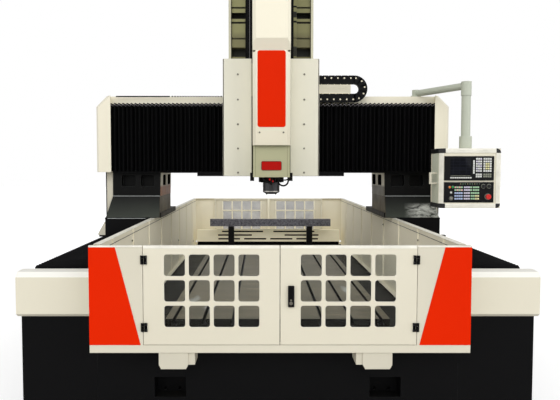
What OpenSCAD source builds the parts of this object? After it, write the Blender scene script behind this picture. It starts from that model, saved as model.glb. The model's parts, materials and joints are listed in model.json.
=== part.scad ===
// CNC plate drilling machine: a gantry that travels over a fixed T-slot table in a sheet-metal enclosure.
// Frame: X across the machine, Y along the gantry travel with the operator's doors at low Y, Z up,
// floor at Z = 0.

/* [Beds and table] */
// Length of the beds along the gantry travel
bed_len = 7200; // [7100:50:7300]
// Half width of the machine over the side beds
bed_out = 2165; // [2150:5:2170]
// Height of the machined top of the side beds
bed_top = 1240; // [1235:1:1245]
// Height of the table top above the floor
table_top = 890; // [870:5:910]
// Half width of the table
table_half = 950; // [940:5:980]
// Length of the table
table_len = 5000; // [4600:100:5000]
// Number of T-slots
slot_count = 8; // [6:2:8]
// Spacing of the T-slots
slot_pitch = 250; // [240:5:250]
// Width of a T-slot at the surface
slot_w = 28; // [22:1:30]

/* [Enclosure] */
// Distance from the middle of the machine to the outer door faces
door_y = 3900; // [3880:5:3920]
// Half width of the enclosure
wall_half = 1520; // [1515:1:1522]
// Height of the enclosure's upper edge
wall_top = 1540; // [1530:1:1544]
// Height of the underside of the front sill
sill_z = 690; // [685:1:700]
// Half distance between the door hinge axes
hinge_half = 1090; // [1085:1:1095]
// Width of a door window
win_w = 168; // [150:1:172]
// Height of a door window
win_h = 174; // [150:1:178]

/* [Gantry] */
// Underside of the crossbeam
beam_z0 = 2113; // [2110:1:2116]
// Top of the crossbeam
beam_z1 = 3037; // [3030:1:3040]
// Half length of the crossbeam casting
beam_half = 1985; // [1980:1:1990]
// Width of a beam end cover
end_cover_w = 170; // [155:5:185]
// Folds of a crossbeam bellows
beam_folds = 24; // [18:1:30]
// Folds of a front way cover
way_folds = 36; // [24:1:44]

/* [Head] */
// Half width of the carriage covers
cover_half = 560; // [556:1:570]
// Height of the carriage cover's upper edge
cover_top = 3425; // [3400:5:3500]
// Height of the tower over the floor
tower_top = 4600; // [4550:10:4700]
// Half width of the ram
ram_half = 205; // [200:1:206]
// Height of the ram cover's lower edge
hood_z0 = 2415; // [2400:1:2430]
// Radius of the spindle rotor
spindle_r = 95; // [80:1:95]
// Radius of the tool bore in the spindle
tool_bore_r = 35; // [25:1:44]

/* [Pendant] */
// Half width of the control box
box_half = 314; // [300:1:320]
// Depth of the control box
box_depth = 360; // [320:5:370]
// Radius of the hanging tube
hang_r = 50; // [40:1:52]

/* [Hidden] */
$fn = 48;
black = [0.07, 0.07, 0.075];
cream = [0.88, 0.86, 0.78];
shade = [0.74, 0.70, 0.57];
orange = [0.93, 0.18, 0.02];
dark_grey = [0.18, 0.19, 0.19];
steel = [0.62, 0.60, 0.56];
screen_blue = [0.10, 0.12, 0.30];
clear_gap = 0.3;            // between flat faces that slide past each other
run_gap = 0.05;             // radial, of a shaft in its bearing
foot_h = 40;
bed_in = 1530;
bed_y = bed_len / 2;
deck_z = 640;               // top of the centre bed
center_half = 1480;
rail_x = [1680, 1985];      // of the two rails on each side bed
rail_w = 45;
rail_h = 32;
screw_x_pos = 1832;         // of the travel screw on each side bed
screw_r = 20;
screw_z = bed_top + 22;
way_in = 1572;
way_out = 2100;
way_z0 = bed_top + 52;
way_z1 = bed_top + 90;
saddle_y0 = -1170;
saddle_y1 = 180;
saddle_in = 1572;
saddle_out = 2058;
saddle_z0 = bed_top + 45;
saddle_z1 = 1554;
waist_z = 1817;             // where the columns' slanted foot ends
column_foot = [1388, 2050]; // inner and outer X of a column, at its foot, waist and head
column_waist = [1388, beam_half - 15];
column_head = [1382, beam_half - 18];
column_slots = [[-935, -690], [-545, -290]];
kick_in = column_foot[0] - 12;       // black kick plate round a column's foot
kick_top = saddle_z1 + 58;
cap_y = bed_y - 120;        // inner faces of the bed end caps
cap_out = bed_out + 31;
table_y0 = -bed_y + 5;
sheet = 3;                  // sheet metal
door_t = 30;
door_gap = 3;
pane_t = 5;
enclosure_x = 10;           // of the enclosure, from the middle of the machine
wall_in = 1466;             // inner face of the side walls
wall_y0 = -door_y + 150;
seam_pitch = 900;           // of the folded seams between wall sheets
hinge_y = 9;                // hinge axis in front of the door face
hinge_zs = [862, 1403];
hinge_h = 70;
pin_r = 4;
win_x = 197;                // spacing of the windows
win_z = 205;
win_cx = 543;
win_cz = 1189;
beam_out = beam_half + end_cover_w;
end_cover_y = [-1262, -205];
beam_y0 = -1120;
beam_y1 = -250;
column_y1 = beam_y1 + 16;
beam_rail_z = [2260, 2840];
beam_rail_y = -1152;
beam_screw_y = -1096;
beam_screw_z = 2550;
beam_screw_r = 25;
carriage_x = -25;           // of the carriage, from the middle of the machine
plate_half = 555;
plate_y0 = -1262;
plate_y1 = -1158;
plate_z1 = 2944;
fold_y0 = -1250;
fold_y1 = -1182;
fold_z0 = 2124;
fold_z1 = 2952;
louver_half = 1010;
louver_y = 3400;
louver_slots = [[0.04, 0.47, 112], [0.55, 0.97, 112], [0.32, 0.98, 186], [0.10, 0.90, 258]];  // ends, height
bar_x = 38;
tower_y0 = -1440;
tower_half = 495;
tower_bays = [[1136, 1026], [924, 914], [742, 732], [696, 627], [568, 558], [386, 376], [340, 271],
    [212, 202]];
post_in = 215;
z_rail_x0 = 218;
z_rail_x1 = 285;
z_rail_y0 = -1474;
ram_y0 = -1850;
ram_y1 = -1332;
ram_z0 = 2060;
ram_z1 = tower_top - 350;
z_screw_y = -1388;
z_screw_z0 = 2232;
hood_y0 = -1900;
hood_upper_y0 = -1965;
hood_z1 = tower_top - 250;
spindle_y = -1700;
nose_z0 = 2004;
rotor_z0 = 1868;
cover_y0 = -1533;
screw_rows = [2110, 2390, 2670, 2955, 3245];
screw_row_x = 385;
chain_y0 = -1248;
chain_y1 = -1172;
chain_bend_x = 982;
chain_z = 3116;
chain_r = 109;
chain_h = 104;
chain_pitch = 78;
chain_low = chain_z - chain_r - chain_h / 2;    // undersides of its two runs
chain_high = chain_z + chain_r - chain_h / 2;
arm_x = beam_half - 214;
arm_y = -1060;
arm_z = beam_z1 + 41;
hang_x = arm_x + 376;
box_x = hang_x + 16;         // of the controls' middle
box_left = box_x - box_half - 34;
box_corner = 47;            // cut from the left front edge
hang_y = -1810;
box_z0 = arm_z - 1354;
box_z1 = arm_z - 701;
stop_at = [176, 126];       // places of the controls, from the middle of the box and its lower edge
dial_xs = [128, 189];
dial_z = 240;
key_at = [-224, 107];
start_at = [-208, 232];
hold_at = [-243, 230];
pad_xs = [43, 66, 89, 125, 148, 171, 194];  // lower left corners of the keys
pad_zs = [337, 360, 398, 424, 450, 476, 502, 530];
key_xs = [-187, -164, -141, -118, -85, -62, -39];
upper_xs = concat(key_xs, [-16, 14, 38, 62]);
lower_xs = concat(key_xs, [-9, 14, 38, 62]);
key_rows = [[95, lower_xs], [126, lower_xs], [157, lower_xs], [190, upper_xs], [220, upper_xs]];
screen_at = [[-235, -11], [360, 548]];
box_y0 = hang_y - box_depth / 2;
fascia_y0 = box_y0 - 6;
fascia_x = [box_x - box_half + 12, box_x + box_half - 73];

module block(x0, x1, y0, y1, z0, z1) {
    translate([x0, y0, z0]) cube([x1 - x0, y1 - y0, z1 - z0]);
}

module both_sides() {
    for (s = [0, 1]) mirror([s, 0, 0]) children();
}

// profile in X and Z, pushed from y0 to y1
module front_profile(y0, y1) {
    translate([0, y1, 0]) rotate([90, 0, 0]) linear_extrude(y1 - y0) children();
}

// profile in Y and Z, pushed from x0 to x1
module side_profile(x0, x1) {
    translate([x0, 0, 0]) rotate([90, 0, 90]) linear_extrude(x1 - x0) children();
}

module rod_x(x0, x1, y, z, r) {
    translate([x0, y, z]) rotate([0, 90, 0]) cylinder(r = r, h = x1 - x0);
}

module rod_y(x, y0, y1, z, r) {
    translate([x, y1, z]) rotate([90, 0, 0]) cylinder(r = r, h = y1 - y0);
}

module rounded(x0, x1, z0, z1, r) {
    translate([x0 + r, z0]) square([x1 - x0 - 2 * r, z1 - z0]);
    translate([x0, z0 + r]) square([x1 - x0, z1 - z0 - 2 * r]);
    for (x = [x0 + r, x1 - r]) for (z = [z0 + r, z1 - r]) translate([x, z]) circle(r, $fn = 24);
}

// a folded sheet: n folds from a to b, its ridges reaching from low to high
function fold_side(a, b, n, low, high, t) =
    [for (i = [0:2 * n]) [a + (b - a) * i / (2 * n), (i % 2 == 0 ? low : high - t)]];
module folded(a, b, n, low, high, t) {
    under = fold_side(a, b, n, low, high, t);
    polygon(concat(under, [for (i = [2 * n:-1:0]) [under[i][0], under[i][1] + t]]));
}

// ---------- beds and table ----------
module center_bed() {
    color(black) difference() {
        union() {
            block(-center_half, center_half, -bed_y, bed_y, foot_h, deck_z);
            for (e = [0, 1]) mirror([0, e, 0])
                block(-bed_in, bed_in, -bed_y, -bed_y + 40, foot_h, deck_z);
        }
        both_sides() block(780, 1046, -bed_y - 1, -bed_y + 160, 219, 392);
        both_sides() for (x = [850, 976]) rod_y(x, -bed_y + 150, -bed_y + 200, 240, 14);
    }
}

module side_beds() {
    color(black) both_sides() {
        block(bed_in, bed_out, -bed_y, bed_y, foot_h, bed_top);
        block(bed_in, bed_out + 20, -bed_y + 60, bed_y - 60, foot_h, foot_h + 60);
    }
}

module bed_end_caps() {
    color(cream) both_sides() for (e = [0, 1]) mirror([0, e, 0]) difference() {
        side_profile(bed_in + 10, cap_out) polygon([[-cap_y, bed_top - 324], [-bed_y - 6, bed_top - 324],
            [-bed_y - 40, bed_top - 299], [-bed_y - 40, bed_top + 12], [-bed_y, bed_top + 52],
            [-cap_y, bed_top + 60]]);
        translate([cap_out, 0, 0]) rotate([0, 0, 45])
            block(-26, 60, -cap_out * 2, cap_out * 2, bed_top - 440, bed_top + 160);
        block(bed_in, bed_out, -bed_y, bed_y, bed_top - 440, bed_top);
        block(way_in - 6, way_out + 6, -bed_y + 40, 0, bed_top - 1, bed_top + 48);
    }
}

module work_table() {
    color(steel) translate([0, table_y0, 0]) difference() {
        block(-table_half, table_half, 0, table_len, deck_z, table_top);
        for (i = [0:slot_count - 1]) translate([(i - (slot_count - 1) / 2) * slot_pitch, 0, 0]) {
            block(-slot_w / 2, slot_w / 2, -1, table_len + 1, table_top - 55, table_top + 1);
            block(-slot_w * 0.9, slot_w * 0.9, -1, table_len + 1, table_top - 55, table_top - 34);
        }
    }
}

module guide_rails() {
    color(steel) both_sides() for (x = rail_x)
        block(x - rail_w / 2, x + rail_w / 2, -3540, 3540, bed_top, bed_top + rail_h);
}

module travel_screws() {
    color(steel) both_sides() {
        rod_y(screw_x_pos, -3540, 3540, screw_z, screw_r);
        for (e = [0, 1]) mirror([0, e, 0])
            block(screw_x_pos - 45, screw_x_pos + 45, -3540, -3470, bed_top, bed_top + 44);
    }
}

module way_cover(y0, y1, n) {
    both_sides() {
        side_profile(way_in, way_out) folded(y0, y1, n, way_z0, way_z1, 4);
        for (x = [way_in, way_out - 4])
            block(x, x + 4, y0, y1, bed_top + 2, way_z0 + 2);
    }
}

module way_covers_front() {
    color(black) way_cover(-cap_y, saddle_y0, way_folds);
}

module way_covers_rear() {
    color(black) way_cover(saddle_y1, cap_y, round(way_folds * 1.35));
}

module leveling_feet() {
    color(dark_grey) for (y = [-3400, -1700, 0, 1700, 3400]) both_sides() for (x = [0, 650, 1300, 1700, 2050])
        translate([x, y, 0]) {
            cylinder(r = 62, h = 18);
            cylinder(r = 24, h = foot_h);
        }
}

// ---------- enclosure ----------
module at_enclosure() {
    translate([enclosure_x, 0, 0]) children();
}

module front_frame() {
    color(cream) at_enclosure() difference() {
        union() {
            block(-wall_half, wall_half, -door_y, -door_y + 34, sill_z, sill_z + 62);
            both_sides() {
                block(hinge_half + 2, wall_half, -door_y, -door_y + sheet, sill_z, wall_top);
                block(hinge_half + 2, hinge_half + 2 + sheet, -door_y, -door_y + 34, sill_z, wall_top);
                block(wall_half - sheet, wall_half, -door_y, -door_y + 150, sill_z, wall_top);
                block(hinge_half + 2, wall_half, -door_y, -door_y + 60, wall_top - 5, wall_top);
            }
            block(-wall_half, wall_half, -door_y + 30, -bed_y + 60, sill_z, sill_z + sheet);
            block(-1470, 1470, -bed_y, -bed_y + 60, deck_z, sill_z + sheet);
        }
        block(-1600, 1600, table_y0 - 2, table_y0 + 200, deck_z - 1, 1600);
        both_sides() block(1408, 1600, wall_y0, -bed_y + 61, deck_z - 1, wall_top + 10);
    }
}

module corner_panels() {
    color(orange) at_enclosure() both_sides() front_profile(-door_y - 3, -door_y)
        polygon([[hinge_half + 22, sill_z + 64], [hinge_half + 220, wall_top + 1],
            [wall_half, wall_top + 1], [wall_half, sill_z + 64]]);
}

module side_walls() {
    color(cream) at_enclosure() both_sides() {
        block(wall_in, wall_in + 4, wall_y0, -wall_y0, 664, wall_top + 5);
        block(wall_in, wall_half, wall_y0, -wall_y0, wall_top + 1, wall_top + 5);
        block(wall_half - sheet, wall_half, wall_y0, -wall_y0, wall_top - 60, wall_top + 5);
        block(1410, wall_in + 4, wall_y0, -wall_y0, 660, 664);
        for (i = [-1:6]) translate([0, i * seam_pitch - 2420, 0]) {
            block(wall_in - 12, wall_in, -20, 20, 664, wall_top + 5);
            block(1420, wall_in + 4, -30, 30, deck_z, 660);
        }
    }
}

module rear_frame() {
    color(cream) at_enclosure() difference() {
        union() {
            block(-wall_half, wall_half, door_y - 34, door_y, sill_z, sill_z + 62);
            both_sides() {
                block(hinge_half + 2, wall_half, door_y - sheet, door_y, sill_z, wall_top);
                block(hinge_half + 2, hinge_half + 2 + sheet, door_y - 34, door_y, sill_z, wall_top);
                block(wall_half - sheet, wall_half, door_y - 150, door_y, sill_z, wall_top);
                block(hinge_half + 2, wall_half, door_y - 60, door_y, wall_top - 5, wall_top);
            }
            block(-wall_half, wall_half, bed_y - 60, door_y - 30, sill_z, sill_z + sheet);
            block(-1400, 1400, bed_y - 60, bed_y, deck_z, sill_z + sheet);
        }
        both_sides() block(1408, 1600, bed_y - 61, -wall_y0, deck_z - 1, wall_top + 10);
    }
}

module chip_chutes() {
    color(cream) translate([carriage_x, 0, 0]) both_sides() difference() {
        union() {
            front_profile(-3892, -3650)
                polygon([[700, sill_z], [700, 589], [718, 555], [917, 555], [935, 589], [935, sill_z]]);
            block(647, 702, -3880, -3670, 588, sill_z);
        }
        block(712, 923, -3880, -3662, 600, sill_z + 1);
    }
}

module rear_louver() {
    color(cream) {
        difference() {
            block(-louver_half, louver_half, louver_y, louver_y + 40, deck_z, deck_z + 320);
            both_sides() for (s = louver_slots) block(louver_half * s[0], louver_half * s[1], louver_y - 1,
                louver_y + 30, deck_z + s[2], deck_z + s[2] + 28);
        }
        both_sides() block(louver_half, 1400, louver_y - 10, louver_y + 120, deck_z, deck_z + 300);
        block(-louver_half, louver_half, louver_y + 40, louver_y + 120, deck_z, deck_z + 28);
    }
}

module bar_stand() {
    color(dark_grey) translate([bar_x, 0, 0]) {
        both_sides() block(700, 810, 3160, 3250, deck_z, 1037);
        block(-1160, 1160, 3150, 3260, 1037, 1173);
    }
}

// fixed halves of the door hinges, with their pins
module door_hinges() {
    color(black) at_enclosure() for (e = [0, 1]) mirror([0, e, 0]) both_sides() for (z = hinge_zs) {
        block(hinge_half + 8.5, hinge_half + 18, -door_y - hinge_y, -door_y, z, z + hinge_h);
        for (k = [0, 48]) translate([hinge_half, -door_y - hinge_y, z + k]) {
            cylinder(r = 8, h = 22);
            block(0, 9, -2, hinge_y, 0, 22);
        }
        translate([hinge_half, -door_y - hinge_y, z]) cylinder(r = pin_r, h = hinge_h);
    }
}

module door(handle) {
    difference() {
        union() {
            difference() {
                block(door_gap, hinge_half - 2, -door_y, -door_y + door_t, sill_z + 66, wall_top - 3);
                block(door_gap + 24, hinge_half - 26, -door_y + sheet, -door_y + door_t + 1,
                    sill_z + 90, wall_top - 27);
            }
            for (z = hinge_zs) {
                translate([hinge_half, -door_y - hinge_y, z + 23]) cylinder(r = 8, h = 24);
                block(hinge_half - 40, hinge_half - 5, -door_y - hinge_y, -door_y, z + 23, z + 47);
                block(hinge_half - 40, hinge_half - 12, -door_y - 6, -door_y, z, z + hinge_h);
            }
        }
        for (z = hinge_zs) translate([hinge_half, -door_y - hinge_y, z])
            cylinder(r = pin_r + run_gap, h = hinge_h);
        for (i = [-1.5:1.5]) for (k = [-1:1]) front_profile(-door_y - 1, -door_y + door_t)
            translate([win_cx + i * win_x, win_cz + k * win_z])
                rounded(-win_w / 2, win_w / 2, -win_h / 2, win_h / 2, 22);
        if (handle) rod_y(88, -door_y - 1, -door_y + door_t + 1, 1093, 10 + run_gap);
    }
}

module door_panes() {
    block(win_cx - 2 * win_x, win_cx + 2 * win_x, -door_y + sheet, -door_y + sheet + pane_t,
        win_cz - 1.5 * win_z, win_cz + 1.5 * win_z);
}

module front_door_left() {
    color(cream) at_enclosure() mirror([1, 0, 0]) door(false);
}

module front_glass_left() {
    color([0.7, 0.75, 0.75, 0.35]) at_enclosure() mirror([1, 0, 0]) door_panes();
}

module front_door_right() {
    color(cream) at_enclosure() door(true);
}

module front_glass_right() {
    color([0.7, 0.75, 0.75, 0.35]) at_enclosure() door_panes();
}

module door_handle() {
    color(black) at_enclosure() {
        front_profile(-door_y - 20, -door_y - 3) rounded(63, 113, 1062, 1232, 6);
        rod_y(88, -door_y - 4, -door_y, 1093, 18);
        rod_y(88, -door_y - 4, -door_y + 22, 1093, 10);
        block(60, 98, -door_y + 16, -door_y + 22, 1080, 1106);
    }
}

module rear_door_left() {
    color(cream) at_enclosure() mirror([1, 0, 0]) mirror([0, 1, 0]) door(false);
}

module rear_glass_left() {
    color([0.7, 0.75, 0.75, 0.35]) at_enclosure() mirror([1, 0, 0]) mirror([0, 1, 0]) door_panes();
}

module rear_door_right() {
    color(cream) at_enclosure() mirror([0, 1, 0]) {
        door(false);
        front_profile(-door_y - 16, -door_y) rounded(63, 113, 1062, 1232, 6);
    }
}

module rear_glass_right() {
    color([0.7, 0.75, 0.75, 0.35]) at_enclosure() mirror([0, 1, 0]) door_panes();
}

// ---------- gantry ----------
module saddles() {
    color(black) both_sides() difference() {
        union() {
            block(saddle_in, saddle_out, saddle_y0, saddle_y1, saddle_z0, saddle_z1);
            for (x = rail_x) for (y = [saddle_y0 + 60, saddle_y1 - 260])
                block(x - 50, x + 50, y, y + 200, bed_top + 4, saddle_z0);
            block(screw_x_pos - 60, screw_x_pos + 60, -560, -430, bed_top + 2, saddle_z0);
            block(saddle_in - 12, saddle_out + 6, saddle_y0, saddle_y1, saddle_z1 - 16, saddle_z1 - 8);
            block(kick_in, saddle_in + 2, saddle_y0 + 20, saddle_y1, saddle_z1 - 4, saddle_z1);
            block(kick_in, column_foot[0], saddle_y0 + 20, column_y1, saddle_z1 - 4, kick_top);
            block(kick_in, saddle_in + 10, column_y1, saddle_y1, saddle_z1 - 4, kick_top);
            block(saddle_out - 1, saddle_out + 76, saddle_y0, saddle_y0 + 60, way_z1 - 12, way_z1 + 8);
        }
        for (x = rail_x) block(x - rail_w / 2 - clear_gap, x + rail_w / 2 + clear_gap, saddle_y0 - 1,
            saddle_y1 + 1, bed_top, bed_top + rail_h + clear_gap);
        rod_y(screw_x_pos, -600, -400, screw_z, screw_r + clear_gap);
    }
}

// outline of a column in X and Z, with its head raised
module column_outline(raise) {
    polygon([[column_foot[0], saddle_z1], [column_foot[1], saddle_z1], [column_waist[1], waist_z],
        [column_head[1], beam_z0 + raise], [column_head[0], beam_z0 + raise], [column_waist[0], waist_z]]);
}

module columns() {
    color(dark_grey) both_sides() difference() {
        intersection() {
            front_profile(saddle_y0, saddle_y1) column_outline(0);
            side_profile(column_foot[0] - 50, column_foot[1] + 50) polygon([[saddle_y0, saddle_z1],
                [column_y1, saddle_z1], [column_y1, beam_z0], [beam_y0, beam_z0], [beam_y0, waist_z]]);
        }
        for (x = [[1456, 1624], [1684, 1860]]) front_profile(beam_y0 - 1, beam_y0 + 90)
            rounded(x[0], x[1], beam_z0 - 178, beam_z0 - 37, 30);
        for (y = column_slots) side_profile(column_head[0] - 12, column_head[0] + 68)
            rounded(y[0], y[1], beam_z0 - 170, beam_z0 - 33, 30);
    }
}

module column_covers() {
    color(cream) both_sides() {
        difference() {
            block(column_head[1] + 2, column_head[1] + 80, beam_y0 + 8, beam_y1 - 10, waist_z - 235, beam_z0);
            front_profile(saddle_y0, saddle_y1) column_outline(1);
        }
        difference() {
            front_profile(beam_y0 + 20, beam_y1 - 4)
                polygon([[column_head[0] - 0.1, beam_z0], [column_waist[0] - 0.1, waist_z],
                    [column_waist[0] - 5, waist_z], [column_head[0] - 5, beam_z0]]);
            for (y = column_slots) side_profile(column_head[0] - 12, column_head[0] + 68)
                rounded(y[0], y[1], beam_z0 - 170, beam_z0 - 33, 30);
        }
    }
    color(cream) front_profile(saddle_y0, saddle_y0 + 60)
        polygon([[-saddle_out, way_z1 + 8], [-saddle_out, 1500], [-saddle_out - 8, 1500],
            [-saddle_out - 88, way_z1 + 28], [-saddle_out - 88, way_z1 + 8]]);
}

module crossbeam() {
    color(cream) difference() {
        union() {
            block(-beam_half, beam_half, beam_y0, beam_y1, beam_z0, beam_z1);
            block(450, 600, chain_y1 + clear_gap, beam_y0, chain_low, beam_z1);
        }
        block(-beam_half + 135, beam_half - 135, beam_y0 - 1, beam_screw_y + 60, beam_screw_z - 75,
            beam_screw_z + 75);
        rod_x(-beam_half + 85, beam_half - 85, beam_screw_y, beam_screw_z, beam_screw_r + run_gap);
        translate([arm_x, arm_y, beam_z1 - 60]) cylinder(r = 30 + run_gap, h = 61);
    }
}

module beam_rails() {
    color(steel) for (z = beam_rail_z)
        block(-beam_half + 55, beam_half - 55, beam_rail_y, beam_y0, z - 22, z + 22);
}

module beam_end_covers() {
    color(cream) both_sides() difference() {
        union() {
            front_profile(end_cover_y[0], end_cover_y[1]) polygon([[beam_half, beam_z0], [beam_out, beam_z0],
                [beam_out, beam_z1 - 127], [beam_out - 127, beam_z1], [beam_half, beam_z1]]);
            block(beam_half - 30, beam_half + 1, end_cover_y[0], end_cover_y[0] + 10, beam_z0, beam_z1);
        }
        block(beam_half - 1, beam_out - 70, beam_y0 + 10, -260, beam_z0 + 40, beam_z1 - 130);
        translate([beam_out, 0, beam_z0]) end_cover_bevel(1000);
        translate([beam_out - 63.5, 0, beam_z1 - 63.5]) rotate([0, -45, 0]) end_cover_bevel(200);
    }
}

// cuts the front edge of an end cover
module end_cover_bevel(h) {
    translate([0, 0, -h]) linear_extrude(2 * h)
        polygon([[-50, end_cover_y[0] - 1], [2, end_cover_y[0] - 1], [2, end_cover_y[0] + 122],
            [0, end_cover_y[0] + 122], [-50, end_cover_y[0]]]);
}

module cable_box() {
    color(cream) {
        block(400, 967, -1050, -880, beam_z1, 3208);
        block(380, 987, -1060, -870, beam_z1, beam_z1 + 8);
    }
}

// one link of the cable chain, its pins at x = 0 and x = chain_pitch
module link(x0 = -14, x1 = chain_pitch - 16, hooked = true) {
    width = chain_y1 - chain_y0;
    difference() {
        union() {
            block(x0, x1, 0, width, -chain_h / 2, chain_h / 2);
            if (hooked) {
                rod_y(chain_pitch, 10 + clear_gap, width - 10 - clear_gap, 0, 30);
                block(chain_pitch - 40, chain_pitch, 10 + clear_gap, width - 10 - clear_gap, -24, 24);
            }
        }
        block(-15, chain_pitch - 30, 10, width - 10, -chain_h / 2 + 12, chain_h / 2 - 12);
    }
}

// a link that lies in the bend, symmetric about the ray that it is turned to
module bend_link(angle) {
    near = chain_r - chain_h / 2;
    far = chain_r + chain_h / 2;
    front_profile(0, chain_y1 - chain_y0) intersection() {
        polygon([for (p = [[-1, near], [1, near], [1, far], [-1, far]])
            [p[0] * (p[1] * tan(angle / 2) - clear_gap / 2), p[1]]]);
        circle(far);
    }
}

module cable_chain() {
    upper = 12;
    lower = 7;
    turn = 5;
    half_gap = clear_gap / 2;
    color(black) translate([0, chain_y0, chain_z]) {
        for (i = [1:upper]) translate([chain_bend_x - i * chain_pitch, 0, chain_r]) {
            if (i == 1) link(x1 = chain_pitch - half_gap, hooked = false);
            else link();
        }
        for (i = [0:lower - 1]) translate([chain_bend_x - i * chain_pitch, chain_y1 - chain_y0, -chain_r])
            rotate([0, 0, 180]) link(x0 = i == 0 ? half_gap : -14);
        for (i = [0:turn - 1]) translate([chain_bend_x, 0, 0]) rotate([0, (i + 0.5) * 180 / turn, 0])
            bend_link(180 / turn);
    }
}

// a crossbeam bellows from the carriage, whose side is at x, to the end of the beam
module beam_bellows(x) {
    translate([0, 0, fold_z0]) linear_extrude(fold_z1 - fold_z0)
        folded(x, beam_half, beam_folds, fold_y0, fold_y1, 4);
    block(x, x + 10, fold_y0, fold_y1 + 10, fold_z0, fold_z1);
    block(beam_half - 10, beam_half, fold_y0, fold_y1 + 10, fold_z0, fold_z1);
}

module bellows_left() {
    color(black) mirror([1, 0, 0]) beam_bellows(plate_half - carriage_x);
}

module bellows_right() {
    color(black) beam_bellows(plate_half + carriage_x);
}

module cross_screw() {
    color(steel) rod_x(-beam_half + 85, beam_half - 85, beam_screw_y, beam_screw_z, beam_screw_r);
}

// ---------- carriage and ram ----------
module at_carriage() {
    translate([carriage_x, 0, 0]) children();
}

module carriage_plate() {
    color(black) at_carriage() difference() {
        union() {
            block(-plate_half, plate_half, plate_y0, plate_y1, 2075, plate_z1);
            block(-888, 888, plate_y0, plate_y1 + 20, 2064, 2116);
            for (z = beam_rail_z) for (x = [-480, 280])
                block(x, x + 200, plate_y1, beam_y0 - 4, z - 55, z + 55);
            block(-90, 90, plate_y1, beam_screw_y + 40, beam_screw_z - 55, beam_screw_z + 55);
        }
        for (z = beam_rail_z) block(-1000, 1000, beam_rail_y - clear_gap, beam_y0 + 1, z - 22 - clear_gap,
            z + 22 + clear_gap);
        rod_x(-100, 100, beam_screw_y, beam_screw_z, beam_screw_r + clear_gap);
    }
}

module z_tower() {
    color(shade) at_carriage() {
        difference() {
            union() {
                block(-tower_half, tower_half, -1300, plate_y0, 2080, tower_top);
                both_sides() block(post_in, tower_half, tower_y0, -1300, 2080, tower_top);
                block(-tower_half, tower_half, tower_y0, plate_y0, tower_top, tower_top + 40);
                block(-50, 50, z_screw_y - 45, -1300, 2240, 2280);
            }
            translate([0, z_screw_y, 2200]) cylinder(r = screw_r + run_gap, h = tower_top - 2130);
            both_sides() for (z = tower_bays) block(z_rail_x1 + 12, tower_half - 35, tower_y0 - 1, -1325,
                tower_top - z[0], tower_top - z[1]);
            both_sides() {
                block(z_rail_x1 + 12, tower_half - 35, tower_y0 - 1, tower_y0 + 20, 2120, tower_top - 40);
                block(z_rail_x0 - 5, z_rail_x1 + 2, tower_y0 - 1, tower_y0 + 10, 2100, tower_top - 20);
            }
        }
        block(-40, 120, plate_y0, chain_y1, chain_high - clear_gap - 6, chain_high - clear_gap);
        block(-40, 120, plate_y0, plate_y0 + 12, 3150, chain_high - clear_gap);
    }
}

module z_guide_strips() {
    color(black) at_carriage() both_sides()
        block(z_rail_x0, z_rail_x1, z_rail_y0, tower_y0 + 10, 2110, tower_top - 30);
}

module carriage_covers() {
    color(cream) at_carriage() both_sides() {
        difference() {
            union() {
                block(226, cover_half, cover_y0, cover_y0 + sheet, 2070, cover_top);
                block(cover_half - sheet, cover_half, cover_y0, plate_y0 - 4, 2070, cover_top);
                block(z_rail_x1 + 16, cover_half, cover_y0, tower_y0 - 1, cover_top - sheet, cover_top);
                block(tower_half, cover_half, tower_y0 - 10, plate_y0 - 4, cover_top - sheet, cover_top);
            }
            translate([cover_half, cover_y0, 0]) rotate([0, 0, 45]) block(-10, 10, -10, 10, 2000, 3600);
        }
        for (z = screw_rows) rod_y(screw_row_x, cover_y0 + 1, tower_y0, z, 12);
        for (z = screw_rows) block(tower_half, cover_half, -1400, -1394, z, z + 40);
    }
}

module z_motor() {
    color(dark_grey) at_carriage() {
        block(-110, 110, z_screw_y - 50, z_screw_y + 120, tower_top + 40, tower_top + 60);
        block(-90, 90, z_screw_y - 48, z_screw_y + 118, tower_top + 60, tower_top + 270);
        translate([0, z_screw_y + 35, tower_top + 270]) cylinder(r = 80, h = 70);
        block(-50, 50, z_screw_y + 118, z_screw_y + 160, tower_top + 90, tower_top + 150);
    }
}

module z_screw() {
    color(steel) at_carriage() translate([0, z_screw_y, z_screw_z0])
        cylinder(r = screw_r, h = tower_top + 30 - z_screw_z0);
}

module ram_body() {
    color(shade) at_carriage() difference() {
        union() {
            block(-ram_half, ram_half, ram_y0, ram_y1, ram_z0, ram_z1);
            both_sides()
                block(ram_half - 1, z_rail_x1 + 10, -1516, z_rail_y0 - clear_gap, 3000, cover_top - 50);
            translate([0, spindle_y, nose_z0]) cylinder(r = 140, h = ram_z0 - nose_z0);
        }
        difference() {
            block(-62, 62, z_screw_y - 60, ram_y1 + 1, ram_z0 + 15, ram_z1 + 1);
            block(-63, 63, z_screw_y - 61, ram_y1 - 8, ram_z1 - 170, ram_z1 - 50);
        }
        translate([0, z_screw_y, ram_z1 - 250]) cylinder(r = screw_r + clear_gap, h = 300);
        translate([0, spindle_y, nose_z0 - 1]) cylinder(r = 70 + run_gap, h = 241);
    }
}

module ram_cover() {
    color(cream) at_carriage() difference() {
        union() {
            hood_shell(hood_y0, hood_z0, 3520, 0);
            intersection() {
                hood_shell(hood_upper_y0, 3455, hood_z1, 0);
                side_profile(-300, 300) polygon([[hood_y0, 3455], [hood_upper_y0, 3575],
                    [hood_upper_y0, hood_z1], [-1500, hood_z1], [-1500, 3455]]);
            }
        }
        hood_shell(hood_y0, hood_z0 - 1, 3515, 5);
        intersection() {
            hood_shell(hood_upper_y0, 3440, hood_z1 - 5, 5);
            side_profile(-300, 300) polygon([[hood_y0 + 5, 3440], [hood_y0 + 5, 3457],
                [hood_upper_y0 + 5, 3577], [hood_upper_y0 + 5, hood_z1], [-1500, hood_z1], [-1500, 3440]]);
        }
    }
}

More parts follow.
